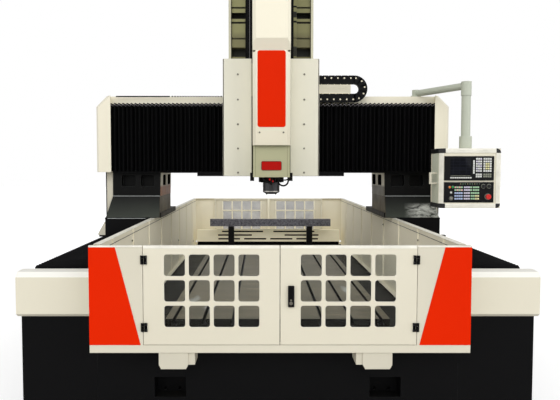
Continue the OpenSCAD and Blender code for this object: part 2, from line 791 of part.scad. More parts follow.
// the ram cover's outline in plan, drawn in by t
module hood_shell(y0, z0, z1, t) {
    w = ram_half + 5 - t;
    c = 36;
    translate([0, 0, z0]) linear_extrude(z1 - z0)
        polygon([[-w, y0 + c], [-w + c, y0 + t], [w - c, y0 + t], [w, y0 + c], [w, -1560 + t * 2],
            [-w, -1560 + t * 2]]);
}

module ram_panel() {
    color(orange) at_carriage() front_profile(hood_y0 - 3, hood_y0) rounded(-155, 155, 2615, 3452, 26);
}

module name_plate() {
    color([0.55, 0.05, 0.03]) at_carriage() front_profile(ram_y0 - 4, ram_y0)
        rounded(-114, 114, 2136, 2240, 18);
}

module coolant_lines() {
    color(black) at_carriage() {
        both_sides() block(194, 238, ram_y0 + 40, ram_y0 + 90, 2018, ram_z0);
        both_sides() block(ram_half, 238, ram_y0 + 40, ram_y0 + 90, ram_z0 - 2, 2110);
        translate([132, ram_y0 + 2, 2020]) rotate([90, 0, 0]) rotate([0, 0, 180])
            rotate_extrude(angle = 180) translate([55, 0]) circle(9, $fn = 24);
        for (x = [77, 187]) translate([x, ram_y0 + 2, 2020]) cylinder(r = 9, h = ram_z0 - 2020);
        translate([0, spindle_y - 140 - 12 - clear_gap, 1975]) cylinder(r = 12, h = ram_z0 - 1975);
    }
}

module spindle() {
    color(dark_grey) at_carriage() translate([0, spindle_y, 0]) difference() {
        union() {
            translate([0, 0, nose_z0 - 6]) cylinder(r = 70, h = 240);
            translate([0, 0, rotor_z0 + 18]) cylinder(r = spindle_r, h = nose_z0 - 0.6 - rotor_z0 - 18);
            translate([0, 0, rotor_z0]) cylinder(r1 = 58, r2 = spindle_r - 6, h = 18.5);
            for (s = [-1, 1]) translate([s * 52 - 8, -12, rotor_z0 - 7]) cube([16, 24, 12]);
        }
        translate([0, 0, rotor_z0 - 10]) cylinder(r = tool_bore_r, h = 130);
    }
}

// ---------- pendant ----------
module pendant_arm() {
    reach = [hang_x - arm_x, hang_y - arm_y];
    turn = atan2(reach[1], reach[0]);
    color([0.72, 0.75, 0.71]) {
        translate([arm_x, arm_y, beam_z1]) {
            cylinder(r = 62, h = 14);
            cylinder(r = 46, h = arm_z - beam_z1 + 44);
            translate([0, 0, -58]) cylinder(r = 30, h = 60);
        }
        translate([arm_x, arm_y, arm_z]) rotate([0, 0, turn]) rotate([0, 90, 0])
            cylinder(r = 40, h = norm(reach));
        translate([hang_x, hang_y, arm_z - 110]) cylinder(r = 56, h = 156);
        difference() {
            translate([hang_x, hang_y, box_z1 + 2]) {
                cylinder(r = 68, h = 138);
                cylinder(r = hang_r, h = arm_z - box_z1);
            }
            translate([hang_x, hang_y, box_z1]) cylinder(r = 40 + run_gap, h = 90);
        }
    }
}

module control_box() {
    color(cream) {
        difference() {
            translate([0, 0, box_z0]) linear_extrude(box_z1 - box_z0) polygon([
                [box_left, box_y0 + box_corner], [box_left + box_corner, box_y0], [box_x + box_half, box_y0],
                [box_x + box_half, box_y0 + box_depth], [box_left, box_y0 + box_depth]]);
            block(fascia_x[0], fascia_x[1], box_y0 - 1, box_y0 + 8, box_z0 + 62, box_z1 - 85);
            for (i = [0:9]) for (x = [box_left - 1, box_x + box_half - 4])
                block(x, x + 5, hang_y - 10 + i * 18, hang_y + i * 18, box_z0 + 30, box_z1 - 30);
        }
        translate([hang_x, hang_y, box_z1 - 1]) cylinder(r = 40, h = 81);
        translate([box_left, 0, 0]) {
            block(-80, -58, box_y0 + 120, box_y0 + 142, box_z0 + 261, box_z0 + 391);
            for (z = [261, 375]) block(-80, 1, box_y0 + 120, box_y0 + 142, box_z0 + z, box_z0 + z + 16);
        }
    }
}

module control_fascia() {
    color([0.10, 0.10, 0.12]) {
        difference() {
            union() {
                for (z = [[box_z0 + 304, box_z1 - 85], [box_z0 + 62, box_z0 + 285]])
                    block(fascia_x[0], fascia_x[1], fascia_y0, box_y0 + 8, z[0], z[1]);
            }
            at_panel([0, 0]) front_profile(fascia_y0 - 1, fascia_y0 + 2)
                rounded(screen_at[0][0], screen_at[0][1], screen_at[1][0], screen_at[1][1], 4);
            for (p = [[hold_at, 6], [start_at, 6], [key_at, 7], [[dial_xs[0], dial_z], 7],
                [[dial_xs[1], dial_z], 7], [stop_at, 12]])
                at_panel(p[0]) rod_y(0, fascia_y0 - 1, box_y0 + 9, 0, p[1] + run_gap);
        }
        for (x = pad_xs) for (z = pad_zs) at_panel([x, z]) block(0, 18, fascia_y0 - 2, fascia_y0, 0, 18);
        for (row = key_rows) for (x = row[1]) at_panel([x, row[0]])
            block(0, 19, fascia_y0 - 2, fascia_y0, 0, 17);
        at_panel([-224, 172]) rod_y(0, fascia_y0 - 5, fascia_y0, 0, 9);
    }
}

// a place on the panel's face, from the middle of the box and its lower edge
module at_panel(place) {
    translate([box_x + place[0], 0, box_z0 + place[1]]) children();
}

module stop_button() {
    color([0.75, 0.06, 0.05]) at_panel(stop_at) {
        rod_y(0, fascia_y0 - 34, fascia_y0 - 10, 0, 28);
        rod_y(0, fascia_y0 - 11, box_y0 + 1, 0, 12);
    }
}

module dial(x) {
    at_panel([x, dial_z]) {
        rod_y(0, fascia_y0 - 22, fascia_y0 - 1, 0, 19);
        rod_y(0, fascia_y0 - 2, box_y0 + 4, 0, 7);
        block(-3, 3, fascia_y0 - 30, fascia_y0 - 21, -14, 17);
    }
}

module dial_left() {
    color([0.15, 0.15, 0.16]) dial(dial_xs[0]);
}

module dial_right() {
    color([0.15, 0.15, 0.16]) dial(dial_xs[1]);
}

module key_switch() {
    color(steel) at_panel(key_at) {
        rod_y(0, fascia_y0 - 8, fascia_y0 - 1, 0, 13);
        rod_y(0, fascia_y0 - 2, box_y0 + 4, 0, 7);
        block(-2, 2, fascia_y0 - 30, fascia_y0 - 7, -11, 11);
    }
}

module button(place) {
    at_panel(place) {
        rod_y(0, fascia_y0 - 14, fascia_y0 - 7, 0, 11);
        rod_y(0, fascia_y0 - 8, box_y0 + 2, 0, 6);
    }
}

module start_button() {
    color([0.15, 0.65, 0.25]) button(start_at);
}

module hold_button() {
    color([0.95, 0.45, 0.1]) button(hold_at);
}

center_bed();
side_beds();
bed_end_caps();
work_table();
guide_rails();
travel_screws();
way_covers_front();
way_covers_rear();
leveling_feet();
front_frame();
corner_panels();
side_walls();
rear_frame();
chip_chutes();
rear_louver();
bar_stand();
door_hinges();
front_door_left();
front_glass_left();
front_door_right();
front_glass_right();
door_handle();
rear_door_left();
rear_glass_left();
rear_door_right();
rear_glass_right();
saddles();
columns();
column_covers();
crossbeam();
beam_rails();
beam_end_covers();
cable_box();
cable_chain();
bellows_left();
bellows_right();
cross_screw();
carriage_plate();
z_tower();
z_guide_strips();
carriage_covers();
z_motor();
z_screw();
ram_body();
ram_cover();
ram_panel();
name_plate();
coolant_lines();
spindle();
pendant_arm();
control_box();
control_fascia();
stop_button();
dial_left();
dial_right();
key_switch();
start_button();
hold_button();
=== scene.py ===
import bpy
import bmesh
import json
import math
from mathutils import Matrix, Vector

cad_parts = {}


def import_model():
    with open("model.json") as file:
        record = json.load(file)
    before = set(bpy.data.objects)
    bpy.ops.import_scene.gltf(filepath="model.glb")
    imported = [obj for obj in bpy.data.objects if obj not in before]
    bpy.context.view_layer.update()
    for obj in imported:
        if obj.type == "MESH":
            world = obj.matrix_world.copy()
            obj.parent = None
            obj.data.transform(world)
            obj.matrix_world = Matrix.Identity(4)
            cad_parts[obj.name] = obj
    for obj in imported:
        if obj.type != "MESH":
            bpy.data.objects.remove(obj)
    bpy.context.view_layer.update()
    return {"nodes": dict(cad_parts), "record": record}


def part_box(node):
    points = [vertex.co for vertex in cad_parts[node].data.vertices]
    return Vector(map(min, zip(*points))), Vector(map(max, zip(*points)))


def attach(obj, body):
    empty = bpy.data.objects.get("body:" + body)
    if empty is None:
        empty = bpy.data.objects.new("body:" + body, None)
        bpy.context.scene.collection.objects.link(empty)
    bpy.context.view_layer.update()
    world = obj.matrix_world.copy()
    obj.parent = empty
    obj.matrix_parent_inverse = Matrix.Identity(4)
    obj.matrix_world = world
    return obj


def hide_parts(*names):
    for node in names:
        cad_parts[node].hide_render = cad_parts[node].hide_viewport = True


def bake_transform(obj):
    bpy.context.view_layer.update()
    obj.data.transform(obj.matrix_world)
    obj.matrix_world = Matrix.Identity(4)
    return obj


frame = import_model()
scene = bpy.context.scene
scene.view_settings.view_transform = "Standard"


# ---------- camera, light and floor ----------
def camera():
    """Stands in front of the doors at eye height on a step, a little left of the middle."""
    sideways, away, height = -0.1415, -8.80, 2.17
    tilt_down = 3.0
    data = bpy.data.cameras.new("camera")
    data.lens = 40.0
    data.sensor_width = 36.0
    data.shift_x = 0.0339286
    data.clip_end = 200
    ob = bpy.data.objects.new("camera", data)
    ob.location = (sideways, away, height)
    ob.rotation_euler = (math.radians(90 - tilt_down), 0, 0)
    scene.collection.objects.link(ob)
    scene.camera = ob


def sun(name, strength, direction, angle):
    """A sun that shines along a direction; the angle softens its shadows."""
    data = bpy.data.lights.new(name, "SUN")
    data.energy = strength
    data.angle = math.radians(angle)
    ob = bpy.data.objects.new(name, data)
    ob.rotation_mode = "QUATERNION"
    ob.rotation_quaternion = Vector(direction).to_track_quat("-Z", "Y")
    scene.collection.objects.link(ob)


def seen_ray(tree):
    """1 for camera and transmission rays."""
    path = tree.nodes.new("ShaderNodeLightPath")
    either = tree.nodes.new("ShaderNodeMath")
    either.operation = "MAXIMUM"
    tree.links.new(path.outputs["Is Camera Ray"], either.inputs[0])
    tree.links.new(path.outputs["Is Transmission Ray"], either.inputs[1])
    return either.outputs[0]


def world():
    """White surroundings, half as strong on the machine as they look behind it."""
    w = bpy.data.worlds.new("world")
    scene.world = w
    w.use_nodes = True
    t = w.node_tree
    t.nodes.clear()
    out = t.nodes.new("ShaderNodeOutputWorld")
    mix = t.nodes.new("ShaderNodeMixShader")
    t.links.new(seen_ray(t), mix.inputs[0])
    for strength, socket in ((0.5, 1), (1.0, 2)):
        light = t.nodes.new("ShaderNodeBackground")
        light.inputs["Color"].default_value = (1, 1, 1, 1)
        light.inputs["Strength"].default_value = strength
        t.links.new(light.outputs[0], mix.inputs[socket])
    t.links.new(mix.outputs[0], out.inputs["Surface"])


def floor():
    """A pale floor that shows almost white and throws little light of its own."""
    bm = bmesh.new()
    bmesh.ops.create_grid(bm, x_segments=1, y_segments=1, size=60)
    me = bpy.data.meshes.new("floor")
    bm.to_mesh(me)
    bm.free()
    ob = bpy.data.objects.new("floor", me)
    ob.location = (0, 0, -0.001)
    scene.collection.objects.link(ob)
    m = Mat("floor", 0.9, 0.0, 0.5)
    m.put((0.82, 0.82, 0.82, 1), m.b.inputs["Base Color"])
    m.put((1, 1, 1, 1), m.b.inputs["Emission Color"])
    m.put(m.math("MULTIPLY", seen_ray(m.t), 0.46), m.b.inputs["Emission Strength"])
    me.materials.append(m.m)


# ---------- materials ----------
def lin(*display):
    """A display colour, 0 to 255, in linear light."""
    return tuple(((c / 255 + 0.055) / 1.055) ** 2.4 if c > 10 else c / 255 / 12.92 for c in display) + (1,)


class Mat:
    """A Principled material with helpers for its nodes."""

    def __init__(self, name, rough, metallic=0.0, specular=0.4):
        self.m = bpy.data.materials.new(name)
        self.m.use_nodes = True
        self.t = self.m.node_tree
        self.b = self.t.nodes["Principled BSDF"]
        for key, value in (("Metallic", metallic), ("Specular IOR Level", specular), ("Roughness", rough)):
            self.b.inputs[key].default_value = value
        self.coord = self.new("TexCoord").outputs["Object"]

    def new(self, kind, **values):
        node = self.t.nodes.new("ShaderNode" + kind)
        for key, value in values.items():
            if hasattr(node, key):
                setattr(node, key, value)
            else:
                node.inputs[key.replace("_", " ").title()].default_value = value
        return node

    def put(self, value, socket):
        """Links a value that another node gives, or sets it."""
        if isinstance(value, bpy.types.NodeSocket):
            self.t.links.new(value, socket)
        else:
            socket.default_value = value

    def placed(self, node, vector=None):
        """Lays a pattern on the object's own axes, or on another vector."""
        self.put(vector or self.coord, node.inputs["Vector"])
        return node

    def stretch(self, scale):
        return self.placed(self.new("Mapping", scale=scale)).outputs[0]

    def noise(self, scale, detail=3.0, rough=0.5, vector=None, distortion=0.0):
        node = self.new("TexNoise", scale=scale, detail=detail, roughness=rough, distortion=distortion)
        return self.placed(node, vector).outputs["Fac"]

    def math(self, op, a, b=0.0):
        node = self.new("Math", operation=op)
        self.put(a, node.inputs[0])
        self.put(b, node.inputs[1])
        return node.outputs[0]

    def spread(self, value, low, high, to_low=0.0, to_high=1.0):
        node = self.new("MapRange", from_min=low, from_max=high, to_min=to_low, to_max=to_high)
        self.put(value, node.inputs["Value"])
        return node.outputs[0]

    def mix(self, fac, a, b):
        node = self.new("Mix", data_type="RGBA")
        for value, index in ((fac, 0), (a, 6), (b, 7)):
            self.put(value, node.inputs[index])
        return node.outputs[2]

    def over(self, base, colour, *shares):
        """A colour laid over the base, by the product of its shares."""
        fac = shares[0]
        for share in shares[1:]:
            fac = self.math("MULTIPLY", fac, share)
        return self.mix(fac, base, colour)

    def facing(self):
        """The way that a face looks."""
        return self.new("NewGeometry").outputs["Normal"]

    def axis(self, name, vector=None):
        """One axis of the place on the object, or of another vector."""
        node = self.new("SeparateXYZ")
        self.put(vector or self.coord, node.inputs[0])
        return node.outputs[name]

    def edges(self, radius):
        """The normal of rounded edges, and a mask that is high on them; the materials lighten their edges
        by it, partly for rubbing and partly as a painted highlight.
        """
        bevel = self.new("Bevel", samples=4, radius=radius)
        dot = self.new("VectorMath", operation="DOT_PRODUCT")
        self.put(bevel.outputs[0], dot.inputs[0])
        self.put(self.facing(), dot.inputs[1])
        return bevel.outputs[0], self.spread(dot.outputs["Value"], 0.99, 0.86)

    def cloud(self, scale, detail=4, rough=0.6, low=0.3, high=0.7):
        """Soft patches between 0 and 1."""
        return self.spread(self.noise(scale, detail, rough), low, high)

    def sheen(self, low, high):
        """Roughness that drifts between two values."""
        return self.spread(self.noise(5, 6, 0.6), 0.25, 0.75, low, high)

    def enamel(self, colour, low, high, normal, grain=260):
        """Finishes a painted face: drifting roughness and a faint orange peel."""
        return self.finish(colour, self.sheen(low, high), self.noise(grain, 2), 0.0003, 0.35, normal)

    def finish(self, colour, rough, height, depth, strength=0.3, normal=None):
        """Joins the colour, the roughness and a relief of some depth to the material."""
        bump = self.new("Bump", strength=strength, distance=depth)
        self.put(height, bump.inputs["Height"])
        self.put(normal or self.facing(), bump.inputs["Normal"])
        self.put(colour, self.b.inputs["Base Color"])
        self.put(rough, self.b.inputs["Roughness"])
        self.put(bump.outputs[0], self.b.inputs["Normal"])
        return self.m


def shade(colour, k):
    """A colour made k times as bright."""
    return tuple(min(1.0, c * k) for c in colour[:3]) + (1,)


def paint(name, colour, rough=0.4, specular=0.4, tone=0.05, edge_wear_and_highlight=None, radius=0.005, dust=None,
          painted_shade_below=None, painted_top_light=None):
    """Enamel on metal: cloudy tone, faint orange peel, edges lightened partly by rubbing and partly as a
    painted highlight, and dust on what faces up.
    After dust: painted shade, the paint darkened towards the lower of two heights, given as the two
    heights, how much it is darkened at the lower one, and the dark colour.
    Last: a painted highlight, the paler colour of faces that slant upwards."""
    m = Mat(name, rough, 0.0, specular)
    normal, edge = m.edges(radius)
    base = m.mix(m.cloud(0.8), shade(colour, 1 - tone), shade(colour, 1 + tone * 0.7))
    base = m.over(base, shade(colour, 0.72), m.cloud(22, 8, 0.7, 0.55, 0.8), tone * 3)
    if dust:
        up = m.spread(m.axis("Z", m.facing()), 0.5, 0.95)
        base = m.over(base, dust, up, m.spread(m.noise(3, 5, 0.6), 0.35, 0.7, 0.1, 0.5))
    # painted highlight: paler faces that slant upwards
    if painted_top_light:
        base = m.over(base, painted_top_light, m.spread(m.axis("Z", m.facing()), 0.3, 0.6), 0.85)
    # painted shade: darker towards the lower height
    if painted_shade_below:
        low, high, share, dark = painted_shade_below
        base = m.mix(m.spread(m.axis("Z"), low, high, share, 0.0), base, dark)
    # edges lightened: partly rubbed, partly a painted highlight
    base = m.over(base, edge_wear_and_highlight or shade(colour, 1.25), edge, m.cloud(9, 6, 0.65, 0.42, 0.68), 0.7)
    return m.enamel(base, rough - 0.06, rough + 0.1, normal)


def metal(name, colour, rough=0.3, grain=(1, 1, 1), metallic=1.0, tone=0.1):
    """Ground or turned steel with grain lines and a few stains."""
    m = Mat(name, rough, metallic, 0.5)
    normal, edge = m.edges(0.0025)
    lines = m.noise(90, 4, 0.6, m.stretch(grain))
    stain = m.noise(4, 6, 0.65)
    base = m.mix(lines, shade(colour, 1 - tone), shade(colour, 1 + tone))
    base = m.mix(m.spread(stain, 0.55, 0.75, 0.0, 0.35), base, shade(colour, 0.45))
    # edges lightened: partly rubbed, partly a painted highlight
    base = m.over(base, shade(colour, 1.5), edge, 0.4)
    gloss = m.spread(lines, 0.2, 0.8, rough - 0.08, rough + 0.12)
    return m.finish(base, gloss, lines, 0.0004, 0.3, normal)


def moulded(name, colour, rough=0.45, specular=0.35, radius=0.002):
    """Moulded plastic or rubber with a fine grained skin."""
    m = Mat(name, rough, 0.0, specular)
    normal, edge = m.edges(radius)
    base = m.mix(m.cloud(7), shade(colour, 0.88), shade(colour, 1.1))
    # edges lightened: partly rubbed, partly a painted highlight
    base = m.over(base, tuple(c * 0.8 + 0.08 for c in colour[:3]) + (1,), edge, 0.35)
    gloss = m.spread(m.noise(30, 4, 0.6), 0.3, 0.7, rough - 0.05, rough + 0.08)
    return m.finish(base, gloss, m.noise(900, 2), 0.0002, 0.3, normal)


def table_iron(name):
    """Cast iron: milled and oiled on top, dark and rough on its sides and in its slots."""
    m = Mat(name, 0.5, 0.0, 0.35)
    normal, edge = m.edges(0.004)
    up = m.spread(m.axis("Z", m.facing()), 0.8, 0.9)
    high = m.spread(m.axis("Z"), 0.86, 0.885)
    top = m.math("MULTIPLY", up, high)
    strokes = m.noise(3.2, 9, 0.72, m.stretch((1.0, 9.0, 1.0)), 0.6)
    patches = m.noise(1.3, 5, 0.6)
    fine = m.noise(60, 5, 0.7, m.stretch((0.25, 6.0, 1.0)))
    milled = m.mix(m.spread(strokes, 0.32, 0.68), lin(84, 79, 65), lin(156, 147, 125))
    milled = m.mix(m.spread(patches, 0.45, 0.7, 0.0, 0.75), milled, lin(86, 84, 72))
    milled = m.over(milled, lin(164, 153, 130), fine, 0.3)
    rows = m.placed(m.new("TexWave", wave_type="BANDS", bands_direction="Y", scale=1.1, distortion=1.5))
    milled = m.over(milled, lin(80, 78, 68), rows.outputs["Fac"], 0.18)
    spots = m.placed(m.new("TexVoronoi", feature="F1", scale=2.6))
    milled = m.mix(m.spread(spots.outputs["Distance"], 0.05, 0.02), milled, lin(50, 48, 40))
    # painted reflection: pale glare patches on the milled top
    painted_glare = m.noise(1.7, 3, 0.5, m.stretch((1.4, 0.35, 1.0)))
    milled = m.mix(m.spread(painted_glare, 0.66, 0.72, 0.0, 0.7), milled, lin(206, 210, 210))
    cast = m.mix(m.noise(14, 6, 0.7), lin(10, 11, 9), lin(28, 28, 24))
    base = m.mix(top, cast, milled)
    # edges of the top lightened: partly rubbed, partly a painted highlight
    base = m.over(base, lin(196, 190, 172), edge, top, 0.6)
    gloss = m.spread(strokes, 0.2, 0.8, 0.36, 0.6)
    height = m.math("ADD", m.math("MULTIPLY", fine, 0.4), m.math("MULTIPLY", strokes, 0.6))
    return m.finish(base, gloss, height, 0.001, 0.35, normal)


def cloth(name, colour, weave=(1, 1, 1)):
    """Coated cloth of the bellows and way covers."""
    m = Mat(name, 0.62, 0.0, 0.06)
    threads = m.noise(420, 2, 0.6, m.stretch(weave))
    dust = m.noise(2.5, 6, 0.65)
    base = m.mix(m.spread(dust, 0.4, 0.75, 0.0, 0.5), colour, shade(colour, 2.2))
    base = m.over(base, shade(colour, 1.7), threads, 0.3)
    gloss = m.spread(dust, 0.3, 0.7, 0.5, 0.72)
    return m.finish(base, gloss, threads, 0.0006, 0.5)


def pane(name, clear, clean, dusty):
    """Acrylic sheet with a film of dust; clear is the share of light that passes."""
    m = Mat(name, 0.02, 0.0, 0.3)
    m.b.inputs["Transmission Weight"].default_value = clear
    m.b.inputs["IOR"].default_value = 1.14
    film = m.noise(6, 6, 0.7)
    tint = m.mix(m.spread(film, 0.4, 0.75), clean, dusty)
    gloss = m.spread(film, 0.45, 0.85, 0.01, 0.09)
    return m.finish(tint, gloss, m.noise(12, 2), 0.0002, 0.15)


def screen():
    """Dark display glass with soft, wordless fields."""
    m = Mat("screen", 0.12, 0.0, 0.1)
    fields = m.new("TexBrick", offset=0.0, scale=1.0, brick_width=0.07, row_height=0.031,
                   mortar_size=0.0016, color1=lin(8, 9, 13), color2=lin(12, 13, 20), mortar=lin(24, 26, 34))
    upright = m.placed(m.new("Mapping", rotation=(math.radians(90), 0, 0)))
    m.placed(fields, upright.outputs[0])
    film = m.noise(9, 4)
    base = m.mix(m.spread(film, 0.5, 0.8, 0.0, 0.2), fields.outputs["Color"], lin(34, 36, 44))
    m.put(base, m.b.inputs["Emission Color"])
    m.b.inputs["Emission Strength"].default_value = 0.35
    return m.finish(base, m.spread(film, 0.3, 0.7, 0.08, 0.2), m.noise(40, 2), 0.0002, 0.1)


CREAM = lin(226, 220, 200)
SLOTS = {
    "black_paint": (paint, lin(11, 11, 12), 0.45, 0.07, 0.1, lin(44, 44, 44), 0.006, lin(38, 37, 34)),
    "cream_paint": (paint, CREAM, 0.42, 0.35, 0.025, lin(240, 237, 224), 0.005, lin(232, 228, 212)),
    "orange_paint": (paint, lin(223, 38, 0), 0.36, 0.04, 0.03, lin(236, 70, 20), 0.003),
    "column_grey": (paint, lin(14, 14, 13), 0.4, 0.06, 0.12, lin(70, 74, 72), 0.008, lin(60, 62, 58)),
    "ground_steel": (metal, lin(190, 186, 180), 0.28, (1, 0.02, 1)),
    "spindle_dark": (metal, lin(66, 66, 68), 0.34, (1, 1, 0.05), 0.9),
    "table_iron": (table_iron,),
    "bellows_black": (cloth, lin(8, 8, 9)),
    "chain_black": (moulded, lin(12, 12, 13), 0.5, 0.12),
    "clear_pane": (pane, 1.0, lin(251, 253, 252), lin(238, 242, 240)),
    "arm_grey": (paint, lin(188, 193, 177), 0.4, 0.3, 0.04, lin(214, 218, 208), 0.004),
    "fascia_black": (moulded, lin(19, 19, 21), 0.4, 0.12),
    "stop_red": (moulded, lin(205, 30, 24), 0.25, 0.5),
    "dial_black": (moulded, lin(30, 30, 32), 0.4),
    "button_green": (moulded, lin(30, 160, 80), 0.25, 0.5),
    "button_amber": (moulded, lin(240, 130, 40), 0.25, 0.5),
    "plate_red": (paint, lin(176, 18, 12), 0.35, 0.08, 0.08, lin(190, 50, 40), 0.002),
    "hose_black": (moulded, lin(12, 12, 12), 0.45, 0.1),
}
M = {name: make(name, *values) for name, (make, *values) in SLOTS.items()}
screen_glass = screen()
pin_metal = metal("pin_metal", lin(222, 214, 190), 0.3, (1, 1, 1), 0.2, 0.05)
screw_metal = metal("screw_metal", lin(120, 116, 106), 0.35, (1, 1, 1), 0.8)
# a pale colour: the control box's aluminium rails have it as their own; on the window rims and the top rims
# of the doors, the frame and the walls it is a painted highlight
pale_rim_and_highlight = moulded("pale_rim_and_highlight", lin(238, 235, 222), 0.45, 0.3, 0.003)
pale_edge_line = moulded("pale_edge_line", lin(150, 146, 150), 0.5, 0.3)
deep_black = moulded("deep_black", lin(8, 8, 8), 0.5, 0.05, 0.003)
olive_dark = moulded("olive_dark", lin(140, 136, 108), 0.5, 0.2)
pale_line = moulded("pale_line", lin(176, 180, 178), 0.4, 0.3, 0.002)
KEY_TONES = {"white": (214, 215, 210), "lilac": (200, 194, 210), "grey": (130, 132, 118),
             "blue": (168, 182, 212), "yellow": (218, 213, 160), "pink": (214, 178, 166),
             "green": (158, 196, 158)}
KEYS = {kind: moulded("key_" + kind, lin(*tone), 0.45) for kind, tone in KEY_TONES.items()}


# Lit and shaded copies of one cream paint, k times as bright: painted light and shade, set part by part for
# how the light falls on it
def cream(name, k, painted_shade_below=None):
    return paint(name, shade(CREAM, k), 0.42, 0.3, 0.025, lin(244, 241, 230), 0.005,
                 lin(236, 232, 216), painted_shade_below=painted_shade_below)


def tower_paint():
    """Olive paint darkened as painted shade for the shade that the tower stands in, with painted shade in
    dark bands under and between the ribs, and a paler flange along its edges.
    """
    m = Mat("tower_olive", 0.5, 0.0, 0.15)
    normal, edge = m.edges(0.005)
    z = m.axis("Z")
    side = m.math("ABSOLUTE", m.math("SUBTRACT", m.axis("X"), HEAD_X))
    cloud = m.cloud(1.4, 5)
    # painted shade: the olive is darkened for the shade on the tower, less above 3.73 m and more on its
    # right half
    base = m.mix(cloud, lin(120, 116, 86), lin(140, 136, 98))
    base = m.mix(m.spread(z, 3.70, 3.76), base, lin(148, 146, 104))
    right = m.math("GREATER_THAN", m.axis("X"), HEAD_X)
    base = m.over(base, lin(60, 58, 44), right, 0.28)
    bay = m.math("LESS_THAN", side, 0.462)
    # painted shade: dark bands under and between the ribs, darkest at the foot of the bay
    for low, high, colour in ((3.464, 3.574, lin(46, 46, 40)), (3.664, 3.680, lin(84, 82, 58)),
                              (3.849, 3.872, lin(12, 12, 10)), (3.908, 3.975, lin(36, 36, 31)),
                              (4.023, 4.042, lin(12, 12, 10))):
        base = m.over(base, colour, m.math("GREATER_THAN", z, low), m.math("LESS_THAN", z, high), bay)
    base = m.mix(m.math("GREATER_THAN", side, 0.460), base, lin(34, 33, 28))
    base = m.mix(m.math("GREATER_THAN", side, 0.467), base, lin(206, 203, 180))
    # edges lightened: partly rubbed, partly a painted highlight
    base = m.over(base, lin(176, 172, 140), edge, 0.35)
    return m.enamel(base, 0.42, 0.6, normal, 240)


def column_cover_paint():
    """Cream fronts in a darker, shaded copy of the cream (painted shade); the faces towards the carriage
    are brown below their slots, a painted brownish reflection.
    """
    m = Mat("column_cover_paint", 0.42, 0.0, 0.3)
    normal, edge = m.edges(0.005)
    x = m.axis("X")
    inner = m.math("LESS_THAN", m.math("ABSOLUTE", x), 1.3885)
    # painted shade: the covers' cream is a darker copy of the cream
    cream_tone = m.mix(m.cloud(0.8), shade(CREAM, 0.76), shade(CREAM, 0.80))
    # painted reflection: brown below the slots on the faces towards the carriage
    oiled = m.mix(m.math("GREATER_THAN", x, 0.0), lin(150, 92, 54), lin(98, 92, 76))
    oiled = m.mix(m.spread(m.noise(6, 6, 0.7), 0.4, 0.7, 0.0, 0.5), oiled, lin(60, 50, 38))
    low = m.spread(m.axis("Z"), 1.955, 1.925)
    base = m.over(cream_tone, oiled, inner, low)
    # edges lightened: partly rubbed, partly a painted highlight
    base = m.over(base, lin(236, 232, 216), edge, 0.4)
    return m.enamel(base, 0.36, 0.52, normal)


def column_paint():
    """Near black above the waist, dusty green-grey below it, and a painted reflection, a pale glare, on the
    right foot.
    """
    m = Mat("column_paint", 0.38, 0.0, 0.1)
    normal, edge = m.edges(0.008)
    x, z = m.axis("X"), m.axis("Z")
    cloud = m.cloud(1.2, 5)
    base = m.mix(cloud, lin(11, 11, 11), lin(18, 18, 17))
    base = m.mix(m.spread(z, 1.56, 1.82, 0.75, 0.0), base, m.mix(cloud, lin(58, 62, 56), lin(74, 79, 71)))
    inner = m.math("LESS_THAN", m.math("ABSOLUTE", x), 1.391)
    oiled = m.mix(m.spread(m.noise(7, 6, 0.7), 0.35, 0.7), lin(92, 80, 58), lin(52, 48, 38))
    base = m.over(base, oiled, inner, m.math("LESS_THAN", z, 1.815))
    # painted reflection: pale glare streaks on the foot of the right column
    streaks = m.spread(m.noise(7, 7, 0.75, m.stretch((1.0, 1.0, 2.4)), 1.2), 0.40, 0.60)
    patch = m.math("MULTIPLY", m.spread(x, 1.62, 1.78), m.spread(z, 1.735, 1.685))
    base = m.over(base, lin(206, 208, 200), patch, streaks, 0.9)
    # edges lightened: partly rubbed, partly a painted highlight
    base = m.over(base, lin(70, 74, 72), edge, 0.4)
    return m.enamel(base, 0.32, 0.5, normal)


def bar_paint():
    """Slate grey, mottled with dust; the posts below are black."""
    m = Mat("bar_paint", 0.5, 0.0, 0.2)
    normal, edge = m.edges(0.004)
    mottle = m.spread(m.noise(26, 8, 0.8), 0.38, 0.62)
    base = m.mix(mottle, lin(62, 62, 68), lin(142, 141, 148))
    # edges lightened: partly rubbed, partly a painted highlight
    base = m.over(base, lin(150, 148, 150), edge, 0.5)
    base = m.mix(m.spread(m.axis("Z"), 1.030, 1.036, 0.97, 0.0), base, lin(6, 5, 3))
    gloss = m.spread(mottle, 0.0, 1.0, 0.45, 0.62)
    return m.finish(base, gloss, mottle, 0.0005, 0.3, normal)


def glow(material, colour, strength):
    """Painted light: a little glow of its own, for a face that stands in a bright niche but gets too little
    light from the lamps.
    """
    b = material.node_tree.nodes["Principled BSDF"]
    b.inputs["Emission Color"].default_value = colour
    b.inputs["Emission Strength"].default_value = strength
    return material


def middle(node, axis):
    """The middle of a node along an axis."""
    low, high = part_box(node)
    return (low[axis] + high[axis]) / 2


HEAD_X, HEAD_Y = middle("spindle", 0), middle("spindle", 1)
ENCLOSURE_X = middle("front_frame", 0)
# painted shade: the dark colour towards which the lower parts of the doors and the hood are darkened
SHADED = lin(120, 104, 60)
door_cream = cream("door_cream", 0.97, (0.70, 1.50, 0.07, SHADED))
gantry_cream = cream("gantry_cream", 1.14)
beam_cream = cream("beam_cream", 1.2)
rear_pane = pane("rear_pane", 0.5, lin(206, 205, 202), lin(172, 172, 176))
